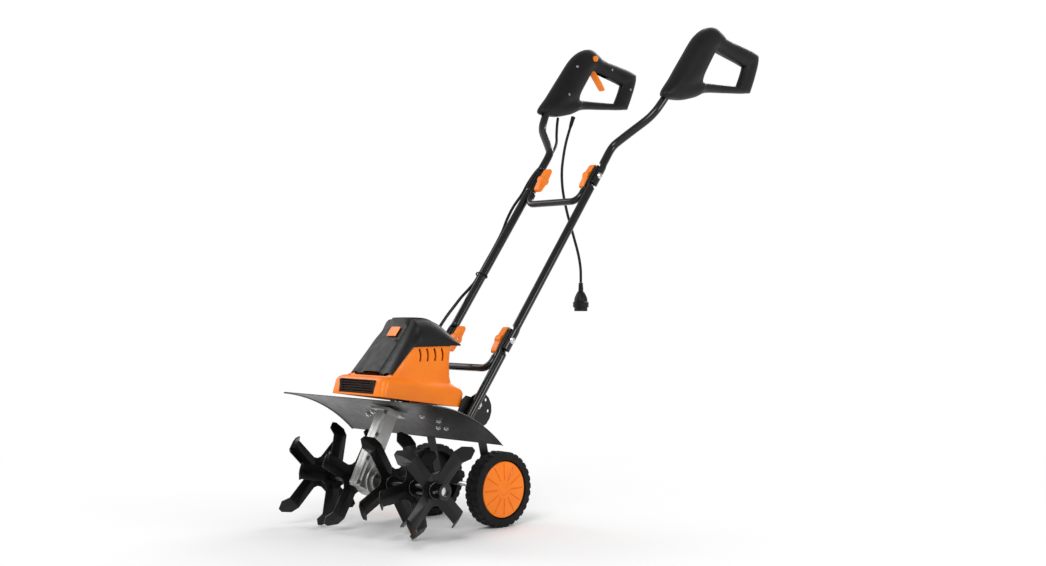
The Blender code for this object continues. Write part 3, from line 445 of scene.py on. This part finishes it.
def hex_bolt(name, centre, axis, radius, height, body, look="bright_steel"):
    """A hexagon head on a washer, its domed face outwards."""
    flats = [(0.0, height), (radius * 0.80, height), (radius, height * 0.80), (radius, height * 0.22)]
    washer = [(radius * 1.35, height * 0.22), (radius * 1.35, 0.0), (0.0, 0.0)]

    def hexagon(r, h, angle):
        if h < height * 0.22 or r > radius * 1.1 or r == 0.0:
            return r, h
        sector = (angle + math.pi / 6) % (math.pi / 3) - math.pi / 6
        return r * math.cos(math.pi / 6) / math.cos(sector), h
    mesh = turned(name, flats + washer, centre, axis, 36, hexagon)
    return add_piece(name, mesh, look, body)


# ---- guard and covers -----------------------------------------------------------------------------
def guard_point(x, share, lift=0.0):
    angle = math.radians(GUARD_ANGLES[0] + (GUARD_ANGLES[1] - GUARD_ANGLES[0]) * share)
    radius = GUARD_BEND_RADIUS + lift
    return m((x, GUARD_CENTRE[0] + radius * math.cos(angle), GUARD_CENTRE[1] + radius * math.sin(angle)))


def guard_lift(x):
    """A thin rolled-down lip at each side."""
    edge = max(0.0, abs(x) - (GUARD_HALF_WIDTH - 0.006)) / 0.006
    return -0.0030 * edge ** 2


def make_guard():
    bm = bmesh.new()
    half = [0.0, 0.02, 0.05, 0.08, 0.11, 0.14, 0.160, 0.166, 0.170, 0.175, 0.180, 0.184, 0.19, 0.21, 0.23,
            0.245, 0.247, 0.249, 0.2498, 0.2502]
    across = [-x for x in reversed(half[1:])] + half
    rows = []
    for i in range(41):
        share = i / 40
        rows.append([bm.verts.new(guard_point(x, share, guard_lift(x) - 0.0008)) for x in across])
    for before, after in zip(rows, rows[1:]):
        for i in range(len(across) - 1):
            bm.faces.new((before[i], before[i + 1], after[i + 1], after[i]))
    guard = add_piece("guard_sheet", to_mesh("guard_sheet", bm), "black_powder", "chassis", ("guard",))
    sheet = guard.modifiers.new("sheet", "SOLIDIFY")
    sheet.thickness = 0.0016
    sheet.offset = 0.0
    bevel(guard, 0.0004, 2, 60)
    for name, side in SIDES:
        for i, (x, share) in enumerate(((0.083, 0.58), (0.118, 0.66), (0.088, 0.80), (0.113, 0.80))):
            outward = (guard_point(0, share) - guard_point(0, share, -0.01)).normalized()
            centre = guard_point(side * x, share, -0.0018) + Vector((0, ORIGIN_BEHIND_TINES, 0))
            hex_bolt(f"guard_nut_{name}_{i}", centre, -outward, 0.0045, 0.0045, "chassis")


def rounded_ring(front, rear, half, corner, height, steps=9):
    points = []
    for x, y, start in ((half - corner, rear - corner, 0), (corner - half, rear - corner, 90),
                        (corner - half, front + corner, 180), (half - corner, front + corner, 270)):
        for k in range(steps + 1):
            angle = math.radians(start + 90 * k / steps)
            points.append((x + corner * math.cos(angle), y + corner * math.sin(angle)))
        if start in (90, 270):
            side = -1 if start == 90 else 1
            span = rear - front - 2 * corner
            points += [(side * half, y + side * span * i / 24) for i in range(1, 24)]
    return [m((x, y, height(y))) for x, y in points]


def cover_edge(y):
    return min(0.3290 + (y + 0.008) * 0.97, 0.3870 + 0.03 * min(0.0, 0.15 - y))


def make_housing():
    rings = (
        (-0.0470, 0.1720, 0.0860, 0.012, lambda y: 0.2900 - 0.152 * (y + 0.047)),
        (-0.0462, 0.1728, 0.0858, 0.012, lambda y: 0.2935 - 0.152 * (y + 0.047)),
        (-0.0400, 0.1790, 0.0842, 0.013, lambda y: 0.3170 - 0.152 * (y + 0.038)),
        (-0.0385, 0.1788, 0.0835, 0.014, lambda y: 0.3210 - 0.150 * (y + 0.038)),
        (-0.0360, 0.1765, 0.0815, 0.015, lambda y: 0.3244 - 0.145 * (y + 0.036)),
        (-0.0330, 0.1640, 0.0755, 0.016, lambda y: 0.3270 - 0.130 * (y + 0.033)),
        (-0.0290, 0.1580, 0.0722, 0.017, lambda y: 0.3285 - 0.115 * (y + 0.029)),
        (-0.0210, 0.1562, 0.0706, 0.018, lambda y: min(cover_edge(y) - 0.002, 0.3330 - 0.070 * (y + 0.021))),
        (-0.0120, 0.1558, 0.0695, 0.018, lambda y: min(cover_edge(y) - 0.0018, 0.3480)),
        (-0.0095, 0.1600, 0.0672, 0.018, lambda y: min(cover_edge(y) - 0.0012, 0.3720)),
        (-0.0080, 0.1650, 0.0662, 0.018, lambda y: cover_edge(y) - 0.0006))
    bm = bmesh.new()
    previous = None
    for front, rear, half, corner, height in rings:
        ring = [bm.verts.new(p) for p in rounded_ring(front, rear, half, corner, height)]
        if previous:
            ring_faces(bm, previous, ring)
        previous = ring
    housing = add_piece("housing_shell", to_mesh("housing_shell", bm), "orange_plastic", "chassis",
                        ("housing",), sharp=28)
    shell = housing.modifiers.new("wall", "SOLIDIFY")
    shell.thickness = 0.0028
    shell.offset = -1.0
    bake(housing)
    cut(housing, box_mesh("grille_opening", (0.1182, 0.030, 0.0278), (0, -0.0463, 0.3077)), "grille_opening")
    for side in (1, -1):
        for i in range(4):
            y = 0.070 + 0.020 * i
            curve = [m((side * 0.0660, y + 0.0030 * math.sin(math.pi * k / 8) - 0.002, 0.3560 + 0.0033 * k))
                     for k in range(9)]
            slot = swept("vent", curve, 0.0026, 12)
            for vert in slot.vertices:
                vert.co.x = side * 0.066 + (vert.co.x - side * 0.066) * 4.0
            cut(housing, slot, "vent")
    housing.data.shade_smooth()
    housing.data.set_sharp_from_angle(angle=math.radians(28))


def cover_section(y):
    """Half of the cover's cross-section at y, from the ridge down to its lower edge."""
    edge = cover_edge(y) + SEAM
    if y < 0.072:
        rise = 0.3335 + (y + 0.008) * 1.300
    else:
        rise = 0.4460 - 7.2 * max(0.0, y - 0.098) ** 2 - 150.0 * max(0.0, 0.086 - y) ** 3
    top = max(rise, edge + 0.0035)
    height = top - edge
    narrow = 0.042 + 0.10 * max(0.0, y - 0.10)
    panel = 0.027 + 0.05 * max(0.0, y)
    return [(0.0, top + 0.0010), (panel * 0.5, top + 0.0009), (panel * 0.94, top + 0.0004),
            (panel, top - 0.0022), (panel * 1.06, top - 0.0026), (max(narrow, panel * 1.12), top - 0.0040),
            (0.0505, edge + 0.84 * height), (0.0585, edge + 0.66 * height), (0.0640, edge + 0.46 * height),
            (0.0680, edge + 0.26 * height), (0.0688, edge + 0.12 * height), (0.0690, edge)]


def make_cover():
    bm = bmesh.new()
    rows = []
    stations = [-0.0060 + 0.1860 * i / 40 for i in range(41)]
    for y in stations:
        half = cover_section(y)
        section = [(x, z) for x, z in reversed(half)] + [(-x, z) for x, z in half[1:]]
        rows.append([bm.verts.new(m((x, y, z))) for x, z in section])
    for before, after in zip(rows, rows[1:]):
        for i in range(len(before) - 1):
            bm.faces.new((before[i], before[i + 1], after[i + 1], after[i]))
    bm.faces.new(rows[-1])
    bmesh.ops.recalc_face_normals(bm, faces=bm.faces)
    cover = add_piece("top_cover_shell", to_mesh("top_cover_shell", bm), "black_plastic", "chassis",
                      ("top_cover",), sharp=32)
    shell = cover.modifiers.new("wall", "SOLIDIFY")
    shell.thickness = 0.0028
    shell.offset = -1.0
    bevel(cover, 0.0012, 3, 40)


def make_badge():
    """A plain tinted plate on the cover's slope, with no mark on it."""
    centre = Vector((0.0, 0.0530, 0.4180))
    slope = math.atan(1.300)
    turn = Matrix.Rotation(slope, 4, "X")
    mesh = box_mesh("badge", (0.0300, 0.0240, 0.0016), centre, turn)
    badge = add_piece("badge", mesh, "orange_plastic", "chassis")
    bevel(badge, 0.0007, 3)


# ---- gearbox, tines and wheels --------------------------------------------------------------------
def make_gearbox():
    for name, side in SIDES:
        refine(f"gearbox_{name}", "cast_aluminium", "chassis", 0.0012, 3)
        spots = [(-0.004, 0.015), (0.048, 0.015), (0.100, 0.015), (0.150, 0.015)]
        for i, (distance, ahead) in enumerate(spots):
            centre = WORM_FOOT + WORM_AXIS * distance + FORWARD_OF_WORM * (ahead + 0.0015)
            centre.x = side * 0.0122
            hex_bolt(f"case_screw_{name}_{i}", centre, (side, 0, 0), 0.0032, 0.0035, "chassis", "dark_steel")
        for i, angle in enumerate((-60, 10, 80)):
            a = math.radians(angle)
            centre = Vector((side * 0.0200, 0.0262 * math.cos(a), TINE_AXIS_Z + 0.0262 * math.sin(a)))
            hex_bolt(f"hub_screw_{name}_{i}", centre, (side, 0, 0), 0.0030, 0.0032, "chassis", "dark_steel")


def make_hubs():
    inner_end = 0.0245
    half = (TINE_HALF_WIDTH - inner_end) / 2
    chamfer = 0.0008
    for name, side in SIDES:
        tube = [(HUB_TUBE_RADIUS - chamfer, half), (HUB_TUBE_RADIUS, half - chamfer),
                (HUB_TUBE_RADIUS, chamfer - half), (HUB_TUBE_RADIUS - chamfer, -half),
                (SHAFT_RADIUS + SEAM, -half), (SHAFT_RADIUS + SEAM, half)]
        centre = (side * (inner_end + half), 0, TINE_AXIS_Z)
        add_piece(f"hub_{name}", turned(f"hub_{name}", tube, centre, (1, 0, 0)), "black_enamel", "tine_rotor",
                  (f"hub_tube_{name}",))
        for i, x in enumerate(STAR_PLANES):
            bead = [(HUB_TUBE_RADIUS + 0.0026 * math.cos(a), 0.0026 * math.sin(a) + 0.0014)
                    for a in (math.radians(90 - 22.5 * k) for k in range(9))]
            bead += [(HUB_TUBE_RADIUS - 0.0005, -0.0012), (HUB_TUBE_RADIUS - 0.0005, 0.0040)]

            def ripple(r, h, angle):
                return r + 0.0003 * math.sin(22 * angle) * (r > HUB_TUBE_RADIUS + 0.0005), h
            weld_centre = (side * (x + 0.0012), 0, TINE_AXIS_Z)
            weld = turned(f"weld_{name}_{i}", bead, weld_centre, (side, 0, 0), 88, ripple)
            add_piece(f"weld_{name}_{i}", weld, "black_enamel", "tine_rotor")
        pin_x = side * 0.2165
        shank = [m((pin_x, -0.021, TINE_AXIS_Z)), m((pin_x, 0.0225, TINE_AXIS_Z))]
        pin = swept("pin", straight(*shank, 4) + [shank[1]], 0.0028, 16)
        add_piece(f"tine_pin_{name}", pin, "bright_steel", "tine_rotor")


def make_stars():
    for name, _ in SIDES:
        for plane in ("inner", "middle", "outer"):
            node = f"tine_{plane}_{name}"
            star = refine(node, "tine_paint", "tine_rotor", 0.0007, 2, sharp=24)


def tread(radius, height, angle):
    """Lugs in two staggered rows round the tread."""
    if radius < WHEEL_RADIUS - 0.0048 or abs(height) > WHEEL_HALF_WIDTH - 0.0001:
        return radius, height
    stagger = math.pi / 30 if height > 0 else 0.0
    wave = math.sin(30 * (angle + stagger) + 55.0 * abs(height))
    groove = 1.0 / (1.0 + math.exp(-14.0 * (wave - 0.35)))
    middle = math.exp(-(height / 0.0016) ** 2)
    return radius - 0.0022 * max(groove, 0.7 * middle), height


def cap_relief(radius, height, angle):
    """Twelve straight grooves from the rim towards a plain centre."""
    if not 0.018 < radius < 0.057 or height < 0.013:
        return radius, height
    nearest = (angle + math.pi / 12) % (math.pi / 6) - math.pi / 12
    offset = abs(nearest) * radius
    depth = max(0.0, 1.0 - (offset / 0.0016) ** 4)
    fade = min(1.0, (radius - 0.018) / 0.003, (0.057 - radius) / 0.003)
    return radius, height - 0.0022 * depth * fade


def make_wheels():
    half = WHEEL_HALF_WIDTH
    rim = WHEEL_RADIUS
    for name, side in SIDES:
        body = f"wheel_{name}"
        centre = (side * WHEEL_CENTRE[0], *WHEEL_CENTRE[1:])
        heights = [half - 0.0025 - (2 * half - 0.005) * i / 22 for i in range(23)]
        tyre = [(0.0625, half), (rim - 0.0060, half), (rim - 0.0015, half - 0.0008)]
        tyre += [(rim, h) for h in heights]
        tyre += [(rim - 0.0015, 0.0008 - half), (rim - 0.0060, -half), (0.0640, -half), (0.0635, 0.0010),
                 (0.0140, 0.0010), (0.0135, 0.0010 - half), (0.0054, 0.0010 - half), (0.0054, 0.0105),
                 (0.0140, 0.0105), (0.0140, 0.0045), (0.0605, 0.0045)]
        add_piece(f"tyre_{name}_tread", turned("tyre", tyre, centre, (side, 0, 0), 360, tread), "tyre", body,
                  (f"tyre_{name}",), sharp=30)
        cap = [(0.0, 0.0192), (0.004, 0.0192), (0.0100, 0.0191), (0.0112, 0.0183), (0.0124, 0.0183),
               (0.0136, 0.0191)]
        cap += [(0.016 + 0.0415 * i / 20, 0.0191 - 0.0018 * i / 20) for i in range(21)]
        cap += [(0.0590, 0.0168), (0.0598, 0.0155), (0.0598, 0.0120), (0.0, 0.0120)]
        cap_mesh = turned("cap", cap, centre, (side, 0, 0), 360, cap_relief)
        add_piece(f"cap_{name}", cap_mesh, "orange_plastic", body, (f"wheel_cap_{name}",), sharp=30)


def make_brackets():
    for name, side in SIDES:
        refine(f"handle_bracket_{name}", "black_powder", "chassis", 0.0006, 2)
        hex_bolt(f"pivot_nut_{name}", (side * 0.0916, 0.208, 0.261), (side, 0, 0), 0.0070, 0.0075, "chassis")
    refine("wheel_bracket", "black_powder", "wheel_carrier", 0.0006, 2)


# ---- handle ---------------------------------------------------------------------------------------
def press(mesh, bolt, side, layer):
    """Flatten a tube where it laps another at a bolt."""
    centre = m(bolt)
    for vert in mesh.vertices:
        reach = abs((vert.co - centre).dot(TUBE_AXIS))
        share = min(1.0, max(0.0, (LAP + LAP_TAPER - reach) / LAP_TAPER))
        share = share * share * (3 - 2 * share)
        pressed = side * layer + (vert.co.x - side * TUBE_X) * LAP_HALF_THICKNESS / TUBE_RADIUS
        vert.co.x += (pressed - vert.co.x) * share


def tube_piece(name, side, points, laps, body, node):
    mesh = swept(name, points, TUBE_RADIUS)
    for bolt, layer in laps:
        press(mesh, bolt, side, layer)
    obj = add_piece(name, mesh, "black_enamel", body, (node,), sharp=50)
    return bevel(obj, 0.0015, 3, 50)


def at(bolt, side, step):
    return m(bolt + Vector((side * TUBE_X, 0, 0)) + TUBE_AXIS * step)


def make_tubes():
    for name, side in SIDES:
        foot = m(TUBE_FOOT + Vector((side * TUBE_X, 0, 0)))
        lower = straight(foot, at(LOWER_BOLT, side, LAP), 40) + [at(LOWER_BOLT, side, LAP)]
        tube_piece(f"lower_leg_{name}", side, lower, [(LOWER_BOLT, INNER_LAYER)], "chassis",
                   f"lower_tube_{name}")
        start, end = at(LOWER_BOLT, side, -LAP), at(UPPER_BOLT, side, LAP)
        mid = straight(start, end, 110) + [end]
        tube_piece(f"mid_leg_{name}", side, mid, [(LOWER_BOLT, OUTER_LAYER), (UPPER_BOLT, INNER_LAYER)],
                   "mid_handle", f"mid_tube_{name}")
        bend = [(0.1020, 0.612, 0.829), (0.1060, 0.6230, 0.8440), (0.1200, 0.6330, 0.8580),
                (0.1460, 0.6490, 0.8803), (0.1720, 0.6650, 0.9025), (0.1850, 0.6770, 0.9200),
                (0.1910, 0.6880, 0.9360), tuple(TUBE_ENTRY), tuple(TUBE_TOP)]
        bend = [m((side * x, y, z)) for x, y, z in bend]
        top = straight(at(UPPER_BOLT, side, -LAP), at(UPPER_BOLT, side, LAP + 0.02), 26)
        top += smooth_route([at(UPPER_BOLT, side, LAP + 0.02)] + bend, 6)
        tube_piece(f"upper_leg_{name}", side, top, [(UPPER_BOLT, OUTER_LAYER)], f"upper_handle_{name}",
                   f"upper_tube_{name}")


def make_crossbar(name, bolt, body, node):
    bend = 0.022
    legs = [(CROSSBAR_X, step) for step in (LAP - 0.0022 * i for i in range(34))]
    corner = [(CROSSBAR_X - bend + bend * math.cos(a), -CROSSBAR_DROP + bend + bend * math.sin(a))
              for a in (math.radians(-9 * k) for k in range(11))]
    half = [(x, s) for x, s in legs if s > -CROSSBAR_DROP + bend] + corner
    span = [(x * (1 - i / 6), -CROSSBAR_DROP) for x in (CROSSBAR_X - bend,) for i in range(1, 6)]
    path = half + span
    full = path + [(-x, s) for x, s in reversed(path)]
    mesh = swept(name, [m(bolt + Vector((x, 0, 0)) + TUBE_AXIS * s) for x, s in full], CROSSBAR_RADIUS)
    centre = m(bolt)
    for vert in mesh.vertices:
        side = 1 if vert.co.x > 0 else -1
        along = (vert.co - centre).dot(TUBE_AXIS)
        share = min(1.0, max(0.0, (CROSSBAR_LAP + 0.008 + along) / 0.008))
        flat = (vert.co.x - side * CROSSBAR_X) * LAP_HALF_THICKNESS / CROSSBAR_RADIUS
        pressed = side * CROSSBAR_LAYER + flat
        vert.co.x += (pressed - vert.co.x) * share
    obj = add_piece(name, mesh, "black_enamel", body, (node,), sharp=50)
    bevel(obj, 0.0015, 3, 50)


def grip_rows(side, half, stations=112, around=14):
    """Rows over one half of a D-handle, on a smooth closed curve through its stations."""
    count = len(GRIP_STATIONS)
    rows = []
    for i in range(stations):
        place = i * count / stations
        k, t = int(place), place - int(place)
        four = [GRIP_STATIONS[(k + n) % count] for n in (-1, 0, 1, 2)]
        oy, oz = (catmull(*(s[0][axis] for s in four), t) for axis in (0, 1))
        oy = min(oy, GRIP_REAR)
        iy, iz = (catmull(*(s[1][axis] for s in four), t) for axis in (0, 1))
        depth = catmull(*(s[2] for s in four), t)
        row = []
        for n in range(around + 1):
            angle = math.pi * n / around
            share = (1 - math.cos(angle)) / 2
            x = side * (GRIP_X + half * (SEAM / 2 + depth * math.sin(angle) ** 0.72))
            row.append(m((x, oy + (iy - oy) * share, oz + (iz - oz) * share)))
        rows.append(row)
    return rows


def make_grips():
    for name, side in SIDES:
        body = f"upper_handle_{name}"
        for half_name, half in (("outer", 1), ("inner", -1)):
            bm = bmesh.new()
            rows = [[bm.verts.new(p) for p in row] for row in grip_rows(side, half)]
            for before, after in zip(rows, rows[1:] + rows[:1]):
                for i in range(len(before) - 1):
                    bm.faces.new((before[i], before[i + 1], after[i + 1], after[i]))
            bmesh.ops.recalc_face_normals(bm, faces=bm.faces)
            facing = sum(face.normal.x * face.calc_area() for face in bm.faces)
            if facing * side * half < 0:
                bmesh.ops.reverse_faces(bm, faces=bm.faces)
            mesh = bpy.data.meshes.new(f"grip_{half_name}_{name}")
            bm.to_mesh(mesh)
            bm.free()
            grip = add_piece(f"grip_{half_name}_{name}", mesh, "black_plastic", body,
                             (f"handle_{half_name}_{name}",), sharp=50)
            shell = grip.modifiers.new("wall", "SOLIDIFY")
            shell.thickness = GRIP_WALL
            shell.offset = -1.0
            bake(grip)
            mirror = Vector((side, 1, 1))
            heading = (TUBE_TOP - TUBE_ENTRY).normalized()
            entry = [m((TUBE_ENTRY - heading * 0.05) * mirror), m((TUBE_TOP + heading * 0.004) * mirror)]
            cut(grip, swept("entry", entry, TUBE_RADIUS + 0.0005, 32), "entry")
            if side < 0:
                cut(grip, box_mesh("slot", (0.0160, 0.074, 0.040), (-GRIP_X, 0.897, 1.0790)), "slot")
                if half < 0:
                    ends = [m((-GRIP_X + reach, 0.864, 1.113)) for reach in (0.008, 0.040)]
                    hole = swept("hole", ends, 0.0079, 32)
                    cut(grip, hole, "hole")
            grip.data.shade_smooth()
            grip.data.set_sharp_from_angle(angle=math.radians(50))
        for i, (y, z, depth) in enumerate(GRIP_SCREWS):
            centre = (side * (GRIP_X - depth), y, z)
            screw = [(0.0, -0.0004), (0.0012, -0.0004), (0.0014, 0.0012), (0.0030, 0.0010), (0.0034, 0.0),
                     (0.0034, -0.0020), (0.0, -0.0020)]
            mesh = turned("grip_screw", screw, centre, (-side, 0, 0), 24)
            add_piece(f"grip_screw_{name}_{i}", mesh, "bright_steel", body)


def make_controls():
    refine("trigger_lever", "orange_plastic", "trigger", 0.0022, 3)
    inner, outer = -GRIP_X + 0.0110, -GRIP_X + 0.0290
    middle = ((inner + outer) / 2, 0.8640, 1.1130)
    half = (outer - inner) / 2
    button = [(0.0, half - 0.0010), (0.0040, half - 0.0006), (0.0062, half), (0.0072, half - 0.0006),
              (0.0075, half - 0.0020), (0.0075, -half), (0.0, -half)]
    add_piece("lock_button_cap", turned("lock_button_cap", button, middle, (1, 0, 0)), "orange_plastic",
              "lock_off", ("lock_button",))


def make_knobs():
    for level in ("lower", "upper"):
        for name, _ in SIDES:
            refine(f"knob_{level}_{name}", "orange_plastic", f"knob_{level}_{name}", 0.0022, 3)


def make_supply_cord():
    body = "upper_handle_right"
    fine = smooth_route([m(p) for p in CORD_ROUTE], 6)
    curve = bpy.data.curves.new("cord", "CURVE")
    curve.dimensions = "3D"
    curve.bevel_depth = CORD_RADIUS
    curve.bevel_resolution = 6
    curve.use_fill_caps = True
    spline = curve.splines.new("POLY")
    spline.points.add(len(fine) - 1)
    for target, point in zip(spline.points, fine):
        target.co = (*point, 1.0)
    cord = bpy.data.objects.new("cord", curve)
    bpy.context.scene.collection.objects.link(cord)
    curve.materials.append(LOOKS["cord_jacket"])
    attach(cord, body)
    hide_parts("supply_cord")
    exit_point = Vector(CORD_ROUTE[0])
    heading = (Vector(CORD_ROUTE[1]) - exit_point).normalized()
    relief = [(0.0, 0.0287), (0.0058, 0.0287), (0.0058, 0.0262)]
    for i in range(6):
        radius = 0.0056 - 0.00016 * i
        height = 0.0252 - 0.0040 * i
        relief += [(radius, height), (radius, height - 0.0018), (radius - 0.0009, height - 0.0022),
                   (radius - 0.0009, height - 0.0036)]
    relief += [(0.0044, 0.0), (0.0, 0.0)]
    boot = add_piece("strain_relief", turned("strain_relief", relief, exit_point - heading * SEAM, -heading),
                     "cord_jacket", body, ("cord_gland",))
    end = Vector(CORD_ROUTE[-1])
    shape = [(0.0, -0.0003), (0.0050, -0.0003)]
    for i in range(5):
        height = -0.002 - 0.0040 * i
        shape += [(0.0060 + 0.0003 * i, height), (0.0060 + 0.0003 * i, height - 0.0018),
                  (0.0050 + 0.0003 * i, height - 0.0022), (0.0050 + 0.0003 * i, height - 0.0036)]
    shape += [(0.0090, -0.0240), (0.0122, -0.0300), (0.0155, -0.0370), (0.0170, -0.0430), (0.0175, -0.0490),
              (0.0190, -0.0500), (0.0204, -0.0508), (0.0205, -0.0630), (0.0198, -0.0640), (0.0172, -0.0646),
              (0.0170, -0.0740), (0.0152, -0.0740), (0.0150, -0.0610), (0.0, -0.0600)]

    def fluted(r, h, angle):
        flute = 0.0006 * (0.5 + 0.5 * math.cos(24 * angle)) * (-0.0632 < h < -0.0515 and r > 0.0195)
        return r - flute, h
    plug = add_piece("plug_body", turned("plug_body", shape, end, (0, 0, 1), 96, fluted), "cord_jacket", body,
                     ("plug",))
    for i, x in enumerate((-0.0064, 0.0064)):
        mesh = box_mesh("blade", (0.0016, 0.0064, 0.0125), (end.x + x, end.y, end.z - 0.0664))
        bevel(add_piece(f"plug_blade_{i}", mesh, "bronze", body), 0.0004, 2)


def make_motor_cable():
    """The cable that the handle holds all the way, made as two fixed halves on no body, with a clip round the
    middle leg.
    """
    halves = []
    for name, node, route in (("motor_cable_top", "motor_cable_upper", CABLE_UPPER_ROUTE),
                              ("motor_cable_foot", "motor_cable_lower", CABLE_LOWER_ROUTE)):
        mesh = swept(name, smooth_route([m(p) for p in route], 6), CORD_RADIUS, 14)
        halves.append(add_piece(name, mesh, "cord_jacket", None, (node,)))
    upper, lower = halves
    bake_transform(upper)
    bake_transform(lower)
    for i, (bolt, step) in enumerate(((LOWER_BOLT, 0.180),)):
        centre = bolt + TUBE_AXIS * step
        loop = []
        for k in range(25):
            a = math.radians(360 * k / 24)
            x = -TUBE_X - 0.0040 + (TUBE_RADIUS + 0.0062) * math.cos(a)
            loop.append(m(centre + Vector((x, 0, 0)) + Vector((0, TUBE_AXIS.z, -TUBE_AXIS.y))
                          * (TUBE_RADIUS + 0.0018) * math.sin(a)))
        add_piece(f"cable_clip_{i}", swept("clip", loop, 0.0018, 10), "cord_jacket", "mid_handle")


make_camera()
make_stage()
LOOKS = make_materials()
dress_nodes(LOOKS)
make_supply_cord()
make_motor_cable()
make_guard()
make_housing()
make_cover()
make_badge()
make_gearbox()
make_hubs()
make_stars()
make_wheels()
make_brackets()
make_tubes()
make_crossbar("lower_bar", LOWER_BOLT, "chassis", "lower_crossbar")
make_crossbar("upper_bar", UPPER_BOLT, "mid_handle", "upper_crossbar")
make_grips()
make_controls()
make_knobs()

bpy.context.view_layer.update()
